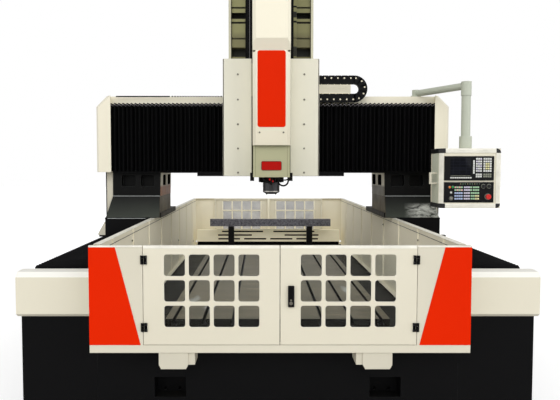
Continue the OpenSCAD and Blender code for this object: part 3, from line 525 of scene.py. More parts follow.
# painted light and shade: the creams below are lit and shaded copies of one cream; painted shade darkens
# the lower parts of the doors and the hood, and the cable box and the louver glow with painted light
OWN = {
    "front_door_left": door_cream,
    "front_door_right": door_cream,
    "front_frame": cream("frame_cream", 0.88),
    "chip_chutes": cream("chute_cream", 0.80),
    "column_covers": column_cover_paint(),
    # painted highlight: the caps' upward faces are paler
    "bed_end_caps": paint("cap_cream", shade(CREAM, 0.99), 0.42, 0.3, 0.025, lin(246, 244, 234), 0.005,
                          painted_top_light=lin(253, 252, 246)),
    "saddles": paint("saddle_black", lin(13, 13, 14), 0.4, 0.08, 0.1, lin(56, 56, 54), 0.006,
                     lin(40, 40, 36)),
    "columns": column_paint(),
    "bar_stand": bar_paint(),
    "beam_end_covers": gantry_cream,
    # painted shade: the hood darkens towards its foot
    "ram_cover": cream("hood_cream", 1.2, (2.40, 3.50, 0.22, SHADED)),
    "crossbeam": beam_cream,
    # painted light: the cable box glows a little
    "cable_box": glow(cream("cable_box_cream", 1.2), CREAM, 0.40),
    "side_walls": cream("wall_cream", 1.25),
    "rear_frame": cream("rear_cream", 1.15),
    # painted light: the louver glows a little
    "rear_louver": glow(cream("louver_cream", 1.2), lin(236, 224, 184), 0.24),
    "carriage_covers": paint("cover_cream", lin(231, 228, 211), 0.42, 0.3, 0.025,
                             lin(246, 243, 232), 0.005),
    "z_tower": tower_paint(),
    # painted shade: the ram's beige is darker than the cream, partly to stand for the shade under the hood
    "ram_body": paint("ram_olive", lin(177, 176, 142), 0.45, 0.2, 0.06, lin(206, 204, 178), 0.005),
    "rear_glass_left": rear_pane,
    "rear_glass_right": rear_pane,
}
slot_of = {row["node"]: row["material_slot"] for row in frame["record"]["subparts"]}
for node, ob in frame["nodes"].items():
    for s in ob.material_slots:
        s.material = OWN.get(node) or M[slot_of[node]]


# ---------- mesh helpers ----------
def piece(name, bm, body, slot, material=None):
    """Makes an object of the mesh that rides on a body. material: one or a list, if not the slot's own."""
    me = bpy.data.meshes.new(name)
    bmesh.ops.recalc_face_normals(bm, faces=bm.faces[:])
    bm.to_mesh(me)
    bm.free()
    ob = bpy.data.objects.new(name, me)
    scene.collection.objects.link(ob)
    for m in material if isinstance(material, list) else [material or M[slot]]:
        me.materials.append(m)
    me.shade_smooth()
    me.set_sharp_from_angle(angle=math.radians(40))
    if body:
        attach(ob, body)
    return ob


def box(bm, x0, x1, y0, y1, z0, z1, bevel=0.002, index=0):
    """A block between two ends along each axis, in either order."""
    low, high = zip(sorted((x0, x1)), sorted((y0, y1)), sorted((z0, z1)))
    made = bmesh.ops.create_cube(bm, size=1.0)["verts"]
    for v in made:
        v.co = [(a + b) / 2 + c * (b - a) for a, b, c in zip(low, high, v.co)]
    faces = {f for v in made for f in v.link_faces}
    for f in faces:
        f.material_index = index
    if bevel:
        edges = {e for v in made for e in v.link_edges}
        cut = bmesh.ops.bevel(bm, geom=list(edges), offset=bevel, segments=2, affect="EDGES", profile=0.6)
        for f in cut["faces"]:
            f.material_index = index


def even(start, step, count):
    """Places at one step."""
    return [start + step * i for i in range(count)]


def blocks(name, body, slot, material, *rows):
    """A piece of blocks. rows: the ends along x, y and z of each, and its bevel."""
    bm = bmesh.new()
    for row in rows:
        box(bm, *row)
    piece(name, bm, body, slot, material)


def walls(bm, *rings):
    """Faces round two equal rings of points, and a face on each ring."""
    low, high = [[bm.verts.new(p) for p in ring] for ring in rings]
    for i in range(len(low)):
        j = (i + 1) % len(low)
        bm.faces.new([low[i], low[j], high[j], high[i]])
    for ring in (low, high):
        bm.faces.new(ring)


def frame_of(direction):
    """Two axes square to a direction, and the direction itself."""
    d = Vector(direction).normalized()
    side = Vector((0, 0, 1)) if abs(d.z) < 0.9 else Vector((1, 0, 0))
    u = d.cross(side).normalized()
    return u, d.cross(u), d


def lathe(bm, at, direction, profile, segments=24, index=0):
    """Turns a list of (radius, height) round the direction."""
    u, v, d = frame_of(direction)
    at = Vector(at)
    rings = []
    for r, h in profile:
        if r < 1e-6:
            rings.append([bm.verts.new(at + d * h)])
        else:
            rings.append([bm.verts.new(at + d * h + (u * math.cos(a) + v * math.sin(a)) * r)
                          for a in (i * math.tau / segments for i in range(segments))])
    for a, b in zip(rings, rings[1:]):
        for i in range(segments):
            j = (i + 1) % segments
            corners = [a[i % len(a)], a[j % len(a)], b[j % len(b)], b[i % len(b)]]
            corners = [c for k, c in enumerate(corners) if c not in corners[:k]]
            if len(corners) > 2:
                bm.faces.new(corners).material_index = index


def screw(bm, at, direction, r=0.007, index=0):
    """A socket screw's head."""
    lathe(bm, at, direction, [(0, -0.001), (r, -0.001), (r, r * 0.45), (r * 0.82, r * 0.62),
                              (r * 0.5, r * 0.62), (r * 0.45, r * 0.2), (0, r * 0.2)], 12, index)


def tube(bm, points, r, segments=12, closed=False, index=0):
    """A round bar along some points."""
    pts = [Vector(p) for p in points]
    n = len(pts)
    rings = []
    u = None
    for i, p in enumerate(pts):
        a = pts[(i - 1) % n] if closed or i else p
        b = pts[(i + 1) % n] if closed or i < n - 1 else p
        d = (b - a).normalized()
        if u is None:
            u = frame_of(d)[0]
        u = (u - d * u.dot(d)).normalized()
        v = d.cross(u)
        rings.append([bm.verts.new(p + (u * math.cos(t) + v * math.sin(t)) * r)
                      for t in (k * math.tau / segments for k in range(segments))])
    for i in range(n if closed else n - 1):
        a, b = rings[i], rings[(i + 1) % n]
        for k in range(segments):
            m = (k + 1) % segments
            bm.faces.new([a[k], a[m], b[m], b[k]]).material_index = index
    if not closed:
        for ring in (rings[0], rings[-1]):
            bm.faces.new(ring).material_index = index


def rounded_loop(cx, cz, w, h, r, y, steps=5):
    """A rectangle with round corners, standing at y."""
    out = []
    for sx, sz, start in ((1, 1, 0), (-1, 1, 90), (-1, -1, 180), (1, -1, 270)):
        for i in range(steps + 1):
            a = math.radians(start + 90 * i / steps)
            x, z = cx + sx * (w / 2 - r), cz + sz * (h / 2 - r)
            out.append((x + math.cos(a) * r, y, z + math.sin(a) * r))
    return out


def arc(points, steps=10):
    """A smooth curve through a few points."""
    pts = [Vector(p) for p in points]
    pts = [pts[0] * 2 - pts[1]] + pts + [pts[-1] * 2 - pts[-2]]
    out = []
    for a, b, c, d in zip(pts, pts[1:], pts[2:], pts[3:]):
        for i in range(steps):
            t = i / steps
            out.append(0.5 * ((2 * b) + (c - a) * t + (2 * a - 5 * b + 4 * c - d) * t * t
                              + (3 * b - a - 3 * c + d) * t ** 3))
    return out + [pts[-2]]


# ---------- folded covers, in strips ------------------------------
def ease_inverse(w):
    """Where the smooth step 3tt - 2ttt reaches w."""
    return 0.5 - math.sin(math.asin(1 - 2 * w) / 3)


def folded_sheet(bm, points, spans, thick):
    """points: (along, depth, share 0 in a valley to 1 on a ridge); spans: the points across the sheet."""
    rows = [spans(p) for p in points]
    low, high = [[[bm.verts.new(Vector(v) + Vector(thick) * lift) for v in row] for row in rows]
                 for lift in (0, 1)]
    count = len(rows[0])
    for i in range(len(rows) - 1):
        for k in range(count - 1):
            bm.faces.new([low[i][k], low[i + 1][k], low[i + 1][k + 1], low[i][k + 1]])
            bm.faces.new([high[i][k + 1], high[i + 1][k + 1], high[i + 1][k], high[i][k]])
        for k in (0, count - 1):
            bm.faces.new([low[i][k], high[i][k], high[i + 1][k], low[i + 1][k]])
    for i in (0, len(rows) - 1):
        for k in range(count - 1):
            bm.faces.new([low[i][k], low[i][k + 1], high[i][k + 1], high[i][k]])


def zigzag(a, b, folds, low, high):
    """Points of a pleated line whose ridges and valleys are slightly rounded."""
    out, soft = [], 0.12
    half = (b - a) / folds / 2
    for i in range(2 * folds + 1):
        ridge = i % 2
        x = a + half * i
        for s in (-soft, soft):
            if 0 <= i + s <= 2 * folds:
                share = 1 - soft if ridge else soft
                out.append((x + half * s, low + (high - low) * share, share))
        if i in (0, 2 * folds):
            out.insert(0 if i == 0 else len(out), (x, high if ridge else low, float(ridge)))
    return out


def folding_cover(node, axis, fixed, moving, strips, folds, depths, dress, material):
    """Strips between a fixed and a moving end, each over an equal share of the span between them.
    depths: where the valleys and the ridges lie. dress: builds a strip from the points of its pleats."""
    for k in range(strips):
        a, b = (fixed + (moving - fixed) * (k + i) / strips for i in (0, 1))
        t0, t1 = (ease_inverse((k + i) / strips) for i in (0, 1))
        bm = bmesh.new()
        dress(bm, zigzag(a, b, folds, *depths))
        ob = piece("%s_%02d" % (node, k), bm, None, "bellows_black", material)
        step = (b - a) / (t1 - t0)
        start, end = [0, 0, 0], [0, 0, 0]
        start[axis] = a - step * t0
        end[axis] = start[axis] + step
        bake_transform(ob)
        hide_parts(node)


def beam_bellows():
    """Pleats of both bellows, with a pale zigzag line below their top, a painted highlight along the mitred
    edges of the pleats.
    """
    for side, node in ((-1, "bellows_left"), (1, "bellows_right")):
        lo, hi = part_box(node)
        near, far = sorted((side * lo.x, side * hi.x))

        def across_sheet(p):
            foot, top = lo.z + 0.001, hi.z - 0.003 - 0.012 * (1 - p[2])
            return [(p[0], p[1], z) for z in (foot, foot + 0.02, (top + foot) / 2, top - 0.02, top)]

        def dress(bm, pleats):
            folded_sheet(bm, pleats, across_sheet, (0, 0.003, 0))
            # painted highlight: a pale zigzag line along the pleats' mitred top edges
            highlight_zigzag = [(x, max(y - 0.003, lo.y + 0.005), hi.z - 0.042 + 0.022 * rise) for x, y, rise in pleats]
            tube(bm, highlight_zigzag, 0.0042, 6, index=1)

        folding_cover(node, 0, side * far, side * near, 14, 2,
                      (lo.y + 0.064, lo.y + 0.001), dress, [M["bellows_black"], pale_edge_line])


def way_covers():
    """Folding covers over the beds, in front of the gantry and behind it."""
    for node, folds in (("way_covers_front", 3), ("way_covers_rear", 4)):
        lo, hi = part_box(node)
        fixed, moving = (lo.y, hi.y) if node == "way_covers_front" else (hi.y, lo.y)
        xs = sorted({abs(v.co.x) for v in frame["nodes"][node].data.vertices})

        def dress(bm, pleats):
            for side in (-1, 1):

                def across_sheet(p):
                    tuck = 0.001 + 0.012 * (1 - p[2])
                    out, inn, foot = xs[-1] - tuck, xs[0] + tuck, lo.z + 0.001
                    section = ((inn, foot), (inn, p[1] - 0.02), (inn + 0.015, p[1]),
                               (out - 0.015, p[1]), (out, p[1] - 0.02), (out, foot))
                    return [(side * x, p[0], z) for x, z in section]

                folded_sheet(bm, pleats, across_sheet, (0, 0, -0.001))

        folding_cover(node, 1, fixed, moving, 12, folds,
                      (hi.z - 0.029, hi.z - 0.001), dress, M["bellows_black"])


def chain_link(bm, place, pin, y0, y1):
    """Side plates, cross bars and a pale pin. place: turns (along, across, outwards) into a point."""
    half, pin_out = 0.050, 0.018
    ends = ((-0.030, -0.036), (-0.020, -half))
    low = [(-0.020 + 0.066 * i / 5, -half) for i in range(1, 6)]
    right = [(0.052, -0.042), (0.052, 0.042)]
    outline = [*ends, *low, *right] + [(a, -b) for a, b in reversed([*ends, *low])]
    for faces in ((y0 + 0.001, y0 + 0.011), (y1 - 0.011, y1 - 0.001)):
        walls(bm, *[[place(a, y, b) for a, b in outline] for y in faces])
    bar = ((-0.012, y0 + 0.008), (0.030, y0 + 0.008), (0.030, y1 - 0.008), (-0.012, y1 - 0.008))
    for t in (0.003 - half, half - 0.003):
        walls(bm, *[[place(a, y, t + b) for a, y in bar] for b in (-0.004, 0.004)])
    for y, d in ((y0 + 0.002, -1), (y1 - 0.002, 1)):
        lathe(bm, place(pin, y, pin_out), (0, d, 0),
              [(0.011, -0.003), (0.011, 0.0005), (0.008, 0.002), (0, 0.002)], 14, 1)
    for y, d in ((y0 + 0.014, 1), (y1 - 0.014, -1)):
        lathe(bm, place(0.058, y, 0), (0, d, 0), [(0.036, -0.002), (0.036, 0.006), (0, 0.006)], 16)


def cable_chain():
    """An upper run, which on the machine follows the carriage, the bend, and a lower run that lies on the
    beam.
    """
    lo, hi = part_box("cable_chain")
    r, h, pitch = 0.109, 0.104, 0.078
    bend = hi.x - r - h / 2
    zc = hi.z - h / 2 - r

    def straight(x, z, way):
        """Places a link of a straight run; way is 1 on the upper run and -1 on the lower one."""
        return lambda a, y, t: Vector((x + way * a, y, z + way * t))

    def curved(turned):
        """Places a link of the bend, turned by an angle from the top of the bend."""
        def place(a, y, t):
            angle = turned + a / r
            return Vector((bend + (r + t) * math.sin(angle), y, zc + (r + t) * math.cos(angle)))
        return place

    def run(name, places, pin):
        bm = bmesh.new()
        for place in places:
            chain_link(bm, place, pin, lo.y, hi.y)
        ob = piece(name, bm, None, "chain_black", [M["chain_black"], pin_metal])
        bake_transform(ob)
        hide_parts("cable_chain")

    run("chain_upper_run", [straight(x, zc + r, 1) for x in even(bend - pitch + 0.028, -pitch, 12)], 0.008)
    run("chain_bend", [curved(math.radians(a)) for a in even(11, 36, 5)], -0.004)
    run("chain_lower_run", [straight(x, zc - r, -1) for x in even(bend - 0.012, -pitch, 7)], 0.0)


# ---------- enclosure ----------
HANDS = ((-1, "left"), (1, "right"))
OUT = (0, -1, 0)  # the way that the operator's side looks
# the doors: name, body that turns, side of the machine, end of the machine
DOORS = [("%s_door_%s" % (end, hand), "door_%s_%s" % (end, hand), sx, sy)
         for end, sy in (("front", -1), ("rear", 1)) for sx, hand in HANDS]
DOOR_Y = -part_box("front_frame")[0].y  # outer faces of the doors
# windows: four columns and three rows over one pane; X is from the enclosure's middle
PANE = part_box("front_glass_left")
WINDOW_X, WINDOW_Z = ENCLOSURE_X - middle("front_glass_left", 0), middle("front_glass_left", 2)
WINDOW_PITCH = ((PANE[1].x - PANE[0].x) / 4, (PANE[1].z - PANE[0].z) / 3)
WINDOW_SIZE = (0.172, 0.178)
HINGE_X, HINGE_H = 1.09, 0.070
HINGE_FEET = (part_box("door_hinges")[0].z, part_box("door_hinges")[1].z - HINGE_H)


def across(side, reach):
    """A place to one side of the enclosure's middle."""
    return ENCLOSURE_X + side * reach


def window_rims():
    """The bright rounded rim of each window, a painted highlight."""
    for name, body, sx, sy in DOORS:
        bm = bmesh.new()
        for i in (-1.5, -0.5, 0.5, 1.5):
            for k in (-1, 0, 1):
                cx = across(sx, WINDOW_X + i * WINDOW_PITCH[0])
                cz = WINDOW_Z + k * WINDOW_PITCH[1]
                tube(bm, rounded_loop(cx, cz, *WINDOW_SIZE, 0.024, sy * (DOOR_Y - 0.0038)), 0.0035, 6, True)
        piece("window_rims_" + name, bm, body, "cream_paint", pale_rim_and_highlight)


def handle_parts():
    """Lock barrel, its pin and the rim round the door handle's plate."""
    lo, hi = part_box("door_handle")
    x = middle("door_handle", 0)
    barrel = [(0.014, -0.002), (0.014, 0.0002), (0.011, 0.0005), (0, 0.0005)]
    pin = [(0.008, -0.002), (0.008, 0.0004), (0, 0.0004)]
    bm = bmesh.new()
    lathe(bm, (x, lo.y, lo.z + 0.031), OUT, barrel, 20)
    lathe(bm, (x, lo.y, lo.z + 0.056), OUT, pin, 16)
    piece("lock_barrel", bm, "handle", "ground_steel", screw_metal)
    bm = bmesh.new()
    plate = rounded_loop(x, (lo.z + hi.z) / 2, 0.038, hi.z - lo.z - 0.012, 0.006, lo.y + 0.0008)
    tube(bm, plate, 0.0013, 6, True)
    piece("handle_rim", bm, "handle", "dial_black")


# ---------- head ----------
def head_screws():
    """Screws on the fronts of the carriage covers, and two at the foot of the ram cover."""
    covers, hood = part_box("carriage_covers")[0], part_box("ram_cover")[0]
    bm = bmesh.new()
    for side in (-1, 1):
        for z in (2.110, 2.390, 2.670, 2.955, 3.245):
            screw(bm, (HEAD_X + side * 0.385, covers.y, z), OUT, 0.011)
    piece("cover_screws", bm, "carriage", "ground_steel", screw_metal)
    bm = bmesh.new()
    for side in (-1, 1):
        screw(bm, (HEAD_X + side * 0.132, hood.y + 0.065, hood.z + 0.141), OUT, 0.010)
    piece("ram_cover_screws", bm, "ram", "ground_steel", screw_metal)


def tower_fittings():
    """Strips beside the tower's guide ways, two joints down the ram and the border of the bare plate."""
    lo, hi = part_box("z_guide_strips")
    ram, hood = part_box("ram_body")[0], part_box("ram_cover")[0]
    blocks("guide_strip_edges", "carriage", "ground_steel", pale_edge_line,
           (HEAD_X - 0.250, HEAD_X - 0.246, lo.y - 0.0001, lo.y + 0.001, lo.z + 0.005, hi.z - 0.005, 0))
    blocks("guide_edge_left", "carriage", "black_paint", deep_black,
           (HEAD_X - 0.298, HEAD_X - 0.284, lo.y, hi.y, lo.z, hi.z, 0))
    blocks("guide_edge_right", "carriage", "beige_paint", OWN["z_tower"],
           (HEAD_X + 0.262, HEAD_X + 0.298, lo.y - 0.00015, hi.y, lo.z, hi.z, 0))
    blocks("ram_joints", "ram", "beige_paint", olive_dark,
           *[(x - 0.002, x + 0.002, ram.y - 0.001, ram.y + 0.001, ram.z + 0.071, hood.z - 0.005, 0)
             for x in (HEAD_X - 0.178, HEAD_X + 0.178)])
    low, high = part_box("name_plate")
    w, h = high.x - low.x - 0.006, high.z - low.z - 0.006
    bm = bmesh.new()
    tube(bm, rounded_loop(HEAD_X, (low.z + high.z) / 2, w, h, 0.016, low.y), 0.0025, 6, True)
    piece("plate_border", bm, "ram", "spindle_dark")


def nose_fittings():
    """A black flange with screws, a bright ring, and short hoses with two red fittings round the nose."""
    nose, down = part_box("ram_body")[0].z, (0, 0, -1)
    flange = [(0.139, -0.055), (0.1425, -0.055), (0.1425, 0.001), (0.100, 0.003), (0.100, -0.002)]
    ring = [(0.094, 0), (0.0965, 0.001), (0.0965, 0.011), (0.094, 0.012)]
    fitting = [(0, 0), (0.009, 0.002), (0.009, 0.020), (0, 0.024)]
    # hoses: radius, then points to the right of the axis, before it and above the nose
    hoses = ((0.008, ((-0.10, 0.138, 0.051), (-0.075, 0.158, 0.016), (-0.02, 0.160, -0.009),
                      (0.035, 0.158, 0.006), (0.05, 0.140, 0.046))),
             (0.007, ((0.06, 0.143, 0.051), (0.10, 0.162, 0.031), (0.16, 0.162, 0.026),
                      (0.20, 0.145, 0.046))))
    bm = bmesh.new()
    lathe(bm, (HEAD_X, HEAD_Y, nose), down, flange, 48)
    piece("nose_flange", bm, "ram", "hose_black", deep_black)
    bm = bmesh.new()
    for a in even(math.radians(30), math.radians(60), 6):
        screw(bm, (HEAD_X + 0.122 * math.cos(a), HEAD_Y + 0.122 * math.sin(a), nose), down, 0.008)
    piece("nose_screws", bm, "ram", "spindle_dark")
    bm = bmesh.new()
    lathe(bm, (HEAD_X, HEAD_Y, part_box("spindle")[0].z + 0.044), down, ring, 48)
    piece("spindle_ring", bm, "spindle_rotor", "ground_steel")
    bm = bmesh.new()
    for r, points in hoses:
        tube(bm, arc([(HEAD_X + dx, HEAD_Y - dy, nose + dz) for dx, dy, dz in points]), r, 10)
    piece("nose_hoses", bm, "ram", "hose_black")
    bm = bmesh.new()
    for dx, dz in ((-0.022, 0.042), (0.012, 0.020)):
        lathe(bm, (HEAD_X + dx, HEAD_Y - 0.156, nose + dz), (0.25, -0.2, -1), fitting, 16)
    piece("red_fitting", bm, "ram", "plate_red")


# ---------- pendant ----------
def rail(bm, a, b, depth_axis, w, d):
    """A rounded aluminium rail between two points, w wide and d deep, with two shallow grooves."""
    a, b = Vector(a), Vector(b)
    out = Vector(depth_axis)
    side = (b - a).normalized().cross(out)
    low = d * 0.7
    right = [(0.16, d), (0.24, low), (0.3, d), (0.86, d), (1, low), (1, 0)]
    outline = [(u * w / 2, t) for u, t in [(-u, t) for u, t in reversed(right)] + right]
    walls(bm, *[[p + side * s + out * t for s, t in outline] for p in (a, b)])


def control_box_trim():
    """Light rails round the front, ribs on the left side and black corner caps."""
    lo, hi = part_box("control_box")
    width, height, w, cut = 0.662, 0.653, 0.050, 0.047
    x0, x1, y0, z0, z1 = hi.x - width, hi.x, lo.y, lo.z, lo.z + height
    bm = bmesh.new()
    for z in (z0 + w / 2, z1 - w / 2):
        rail(bm, (x0 + cut + 0.01, y0, z), (x1 - w, y0, z), OUT, w, 0.007)
    rail(bm, (x1 - w / 2, y0, z0 + w), (x1 - w / 2, y0, z1 - w), OUT, w, 0.007)
    corner = (x0 + cut / 2, y0 + cut / 2)
    rail(bm, (*corner, z0 + w), (*corner, z1 - w), (-0.7071, -0.7071, 0), 0.058, 0.006)
    piece("control_box_rails", bm, "panel_box", "arm_grey", pale_rim_and_highlight)
    blocks("control_box_ribs", "panel_box", "arm_grey", None,
           *[(x0 - 0.005, x0 + 0.002, y, y + 0.014, z0 + w, z1 - w, 0.002)
             for y in even(y0 + 0.058, 0.036, 7)])
    bm = bmesh.new()
    left_cap = [(x0 - 0.006, hi.y - 0.004), (x0 - 0.006, y0 + cut - 0.004), (x0 + cut - 0.004, y0 - 0.007),
                (x0 + cut + 0.012, y0 - 0.007), (x0 + cut + 0.012, y0 + 0.004), (x0 + 0.01, hi.y - 0.004)]
    for ends in ((z0 - 0.0005, z0 + w), (z1 - w, z1 + 0.0005)):
        walls(bm, *[[(x, y, z) for x, y in left_cap] for z in ends])
    reach = w + 0.0004
    for first, cz in ((270, z0 + w), (0, z1 - w)):
        turns = [math.radians(a) for a in even(first, 90 / 8, 9)]
        fan = [(0, 0)] + [(reach * math.cos(a), reach * math.sin(a)) for a in turns]
        walls(bm, *[[(x1 - w + u, y, cz + v) for u, v in fan] for y in (y0 + 0.004, y0 - 0.007)])
    piece("control_box_corners", bm, "panel_box", "dial_black")


def pad_kind(i, k):
    """Kind of a key of the upper right field, by column and row."""
    if k < 2:
        return "grey" if i > 2 else "white"
    if i < 3:
        return "lilac" if (i + k) % 3 == 0 else "white"
    return "yellow" if i in (4, 5) and k in (3, 4, 5) else "white"


def row_kind(i, k):
    """Kind of a key of the lower left field."""
    if i < 4:
        return "blue" if k < 3 else ("green" if (i + k) % 2 else "pink")
    if i < 7:
        return "lilac"
    return "yellow" if i > 8 and k < 2 else "green"


def control_panel():
    """Screen, keys, lamps and rings, placed from the middle of the panel and the foot of the box."""
    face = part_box("control_fascia")[0].y + 0.005
    mid, foot = middle("stop_button", 0) - 0.176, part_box("control_box")[0].z
    kinds, step = list(KEYS), 0.023
    blocks("screen_glass", "panel_box", "clear_pane", screen_glass,
           (mid - 0.234, mid - 0.012, face - 0.0015, face + 0.0012, foot + 0.361, foot + 0.547, 0.001))
    bm = bmesh.new()

    def key(x, z, w, h, kind, lift=0.0035, rim=0.0008):
        box(bm, mid + x - rim, mid + x + w + rim, face - lift, face + 0.001,
            foot + z - rim, foot + z + h + rim, 0.0022, kinds.index(kind))

    for x in even(-0.237, 0.0238, 10):
        key(x, 0.326, 0.019, 0.013, "white", 0.002)
    key(-0.232, 0.352, 0.218, 0.004, "grey", 0.001)
    for z in even(0.377, 0.025, 6):
        key(0.012, z, 0.017, 0.022, "white", 0.002)
    for i, x in enumerate(even(0.043, step, 3) + even(0.125, step, 4)):
        for k, z in enumerate(even(0.337, step, 2) + even(0.398, 0.026, 5) + [0.530]):
            key(x, z, 0.018, 0.018, pad_kind(i, k))
    left = even(-0.187, step, 4) + even(-0.085, step, 3)
    right = even(0.014, 0.024, 3)
    for k, z in enumerate(even(0.095, 0.031, 3) + even(0.190, 0.030, 2)):
        for i, x in enumerate(left + [-0.009 if k < 3 else -0.016] + right):
            key(x, z, 0.019, 0.017, row_kind(i, k))
    for i, x in enumerate(even(-0.124, 0.0256, 9)):
        key(x, 0.262, 0.006, 0.006, "green" if i % 3 else "yellow", 0.0015)
    piece("keys", bm, "panel_box", "fascia_black", list(KEYS.values()))
    bm = bmesh.new()
    cap = [(0.0105, 0), (0.0105, 0.005), (0.009, 0.0065), (0, 0.0065)]
    lathe(bm, (mid - 0.226, face, foot + 0.171), OUT, cap, 24)
    piece("white_cap", bm, "panel_box", "fascia_black", KEYS["white"])
    dial, button, lamp = 0.026, 0.022, 0.0145
    bm = bmesh.new()
    for x, z, r in ((0.128, 0.240, dial), (0.189, 0.240, dial), (0.176, 0.126, 0.034),
                    (-0.224, 0.107, button), (-0.208, 0.232, lamp), (-0.243, 0.230, lamp),
                    (-0.224, 0.172, lamp)):
        ring = [(r, -0.001), (r, 0.0015), (r * 0.9, 0.0025), (r * 0.8, 0.0025), (r * 0.8, -0.001)]
        lathe(bm, (mid + x, face, foot + z), OUT, ring, 28)
    piece("panel_rings", bm, "panel_box", "ground_steel", KEYS["grey"])


def beam_strip():
    """The strip along the beam's top edge, in dashes beside the carriage, and the one under the bellows."""
    lo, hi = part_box("crossbeam")
    dashes = [(x, x + 0.020) for x in even(-1.230, 0.033, 20)]
    blocks("beam_edge_strip", "gantry", "black_paint", None,
           *[(x0, x1, lo.y - 0.003, lo.y + 0.004, hi.z - 0.012, hi.z + 0.002, 0.0005)
             for x0, x1 in [(-1.907, -1.25)] + dashes],
           (lo.x + 0.030, hi.x - 0.030, lo.y - 0.016, lo.y - 0.001, lo.z - 0.010, lo.z + 0.035, 0))


def column_trim():
    """Dark outer edges of the column covers, and pale lines, painted highlights, on the crease at the waist
    and on the left saddle's lip.
    """
    covers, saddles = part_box("column_covers"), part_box("saddles")
    outer, top = covers[1].x, covers[1].z - 0.001
    foot, lip = saddles[1].z - 0.030, saddles[0].y
    front, waist = covers[0].y + 0.050, 1.817
    blocks("column_edges", "gantry", "black_paint", deep_black,
           *[(side * (outer - 0.002), side * (outer + 0.009), front + 0.006, front + 0.030, foot, top, 0)
             for side in (-1, 1)])
    # painted highlights: pale lines on the crease at the waist and on the saddle's lip
    blocks("crease_lines", "gantry", "arm_grey", pale_line,
           *[(side * 1.389, side * 1.968, front - 0.0025, front + 0.002, waist - 0.003, waist + 0.003, 0)
             for side in (-1, 1)],
           (-2.030, -1.562, lip - 0.002, lip + 0.001, 1.541, 1.547, 0))


def enclosure_trim():
    """Bright top rims of the doors and the front frame, which are painted highlights, and black hinge
    leaves with screws.
    """
    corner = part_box("front_frame")[1]
    front, top, clear = -DOOR_Y, corner.z + 0.012, 0.003
    for side, hand in HANDS:
        blocks("door_rim_" + hand, "door_front_" + hand, "cream_paint", pale_rim_and_highlight,
               (across(side, 0.004), across(side, HINGE_X - clear), front - 0.001, front + 0.028,
                top - 0.024, top, 0.003))
    blocks("frame_rim", "base", "cream_paint", pale_rim_and_highlight,
           *[(across(side, HINGE_X + clear), across(side, corner.x - ENCLOSURE_X), front - 0.004,
              front + 0.030, top - 0.014, top, 0.003) for side in (-1, 1)])
    for _, body, sx, sy in DOORS:
        hinge_leaves(body, sx, sy)


def hinge_leaves(body, sx, sy):
    """The moving halves of a door's hinges, each with two screws and a knuckle."""
    knuckle_h, face = 0.0244, sy * (DOOR_Y + 0.0105)
    knuckle = [(0.0078, 0), (0.0084, 0), (0.0084, knuckle_h), (0.0078, knuckle_h)]
    bm = bmesh.new()
    for z in HINGE_FEET:
        box(bm, across(sx, HINGE_X - 0.035), across(sx, HINGE_X - 0.0095), face, sy * (DOOR_Y - 0.001),
            z - 0.0005, z + HINGE_H + 0.0005, 0.002)
        for dz in (0.014, HINGE_H - 0.014):
            screw(bm, (across(sx, HINGE_X - 0.026), face, z + dz), (0, sy, 0), 0.006, 1)
        foot = z + (HINGE_H - knuckle_h) / 2
        lathe(bm, (across(sx, HINGE_X), sy * (DOOR_Y + 0.009), foot), (0, 0, 1), knuckle, 24)
    piece("hinge_leaves_" + body, bm, body, "black_paint", [deep_black, M["dial_black"]])


def wall_trim():
    """Bright top rims of the side walls, which are painted highlights, and the dark hem line and the screws
    on their inner faces.
    """
    lo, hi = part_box("side_walls")
    xs = [v.co.x for v in frame["nodes"]["side_walls"].data.vertices if v.co.z > hi.z - 0.002]
    left, right = max(x for x in xs if x < 0), min(x for x in xs if x > 0)
    blocks("wall_rims", "base", "cream_paint", pale_rim_and_highlight,
           *[(x0, x1, lo.y + 0.002, hi.y - 0.002, hi.z - 0.001, hi.z + 0.0014, 0.0005)
             for x0, x1 in ((lo.x + 0.002, left), (right, hi.x - 0.002))])
    bm = bmesh.new()
    for x, way, spots in ((left, 1, ((-2.547, 1.431), (0.983, 1.021), (3.088, 0.760))),
                          (right, -1, ((-2.470, 1.427), (-0.650, 1.422)))):
        for y, z in spots:
            screw(bm, (x, y, z), (way, 0, 0), 0.010)
        box(bm, x - way * 0.001, x + way * 0.0012, lo.y + 0.010, hi.y - 0.010,
            hi.z - 0.046, hi.z - 0.042, 0)
    piece("wall_screws", bm, "base", "black_paint", deep_black)


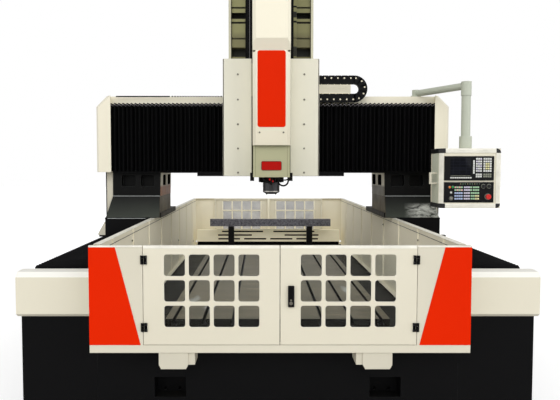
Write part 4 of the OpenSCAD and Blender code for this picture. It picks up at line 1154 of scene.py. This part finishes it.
def louver_slots():
    """Dark slots of the rear louver, where dark strips set into the slots stand for the shade inside them
    (painted shade), and the black strip at its foot.
    """
    lo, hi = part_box("rear_louver")
    half, slot_h, y = 1.010, 0.028, lo.y
    slots = ((0.04, 0.47, 0.112), (0.55, 0.97, 0.112), (0.32, 0.98, 0.186), (0.10, 0.90, 0.258))
    blocks("louver_foot", "base", "black_paint", deep_black,
           (lo.x + 0.010, hi.x - 0.010, y - 0.004, y + 0.001, lo.z + 0.004, lo.z + 0.072, 0.001),
           # painted shade: dark strips inside the slots
           *[(side * a, side * b, y + 0.009, y + 0.014, lo.z + up, lo.z + up + slot_h, 0)
             for a, b, up in slots for side in (-half, half)])


def rear_door_trim():
    """The strip over the doors' gap, the bars before the panes and the bright rims on top of the rear
    doors, which are painted highlights.
    """
    lo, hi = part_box("rear_door_right")
    front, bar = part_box("rear_glass_left")[0].y, 0.014
    foot, top = PANE[0].z + 0.0025, PANE[1].z - 0.0025
    blocks("rear_gap_strip", "door_rear_right", "cream_paint", OWN["rear_frame"],
           (across(-1, 0.018), across(1, 0.020), lo.y - 0.006, lo.y + 0.001,
            lo.z + 0.004, hi.z - 0.004, 0.001))
    rows = [WINDOW_Z + k * WINDOW_PITCH[1] for k in (-1.5, -0.5, 0.5, 1.5)]
    for sx, hand in HANDS:
        columns = [across(sx, WINDOW_X + i * WINDOW_PITCH[0]) for i in range(-2, 3)]
        blocks("rear_bars_" + hand, "door_rear_" + hand, "cream_paint", OWN["rear_frame"],
               *[(x - bar, x + bar, front - 0.002, front + 0.0005, foot, top, 0.0008) for x in columns],
               *[(columns[0], columns[-1], front - 0.0015, front + 0.0004, z - bar, z + bar, 0.0006)
                 for z in rows])
        blocks("rear_rim_" + hand, "door_rear_" + hand, "cream_paint", pale_rim_and_highlight,
               (across(sx, 0.006), across(sx, HINGE_X - 0.005), hi.y - 0.028, hi.y + 0.0005,
                hi.z - 0.014, hi.z + 0.002, 0.002))


camera()
world()
floor()
sun("key", 0.85, (0.1, 1.0, -0.6), 35)
sun("from_right", 1.3, (-1.0, 0.65, -0.32), 60)
sun("from_left", 0.8, (1.0, 0.65, -0.32), 60)
beam_bellows()
way_covers()
cable_chain()
window_rims()
handle_parts()
head_screws()
tower_fittings()
nose_fittings()
control_box_trim()
control_panel()
beam_strip()
column_trim()
enclosure_trim()
louver_slots()
rear_door_trim()
wall_trim()
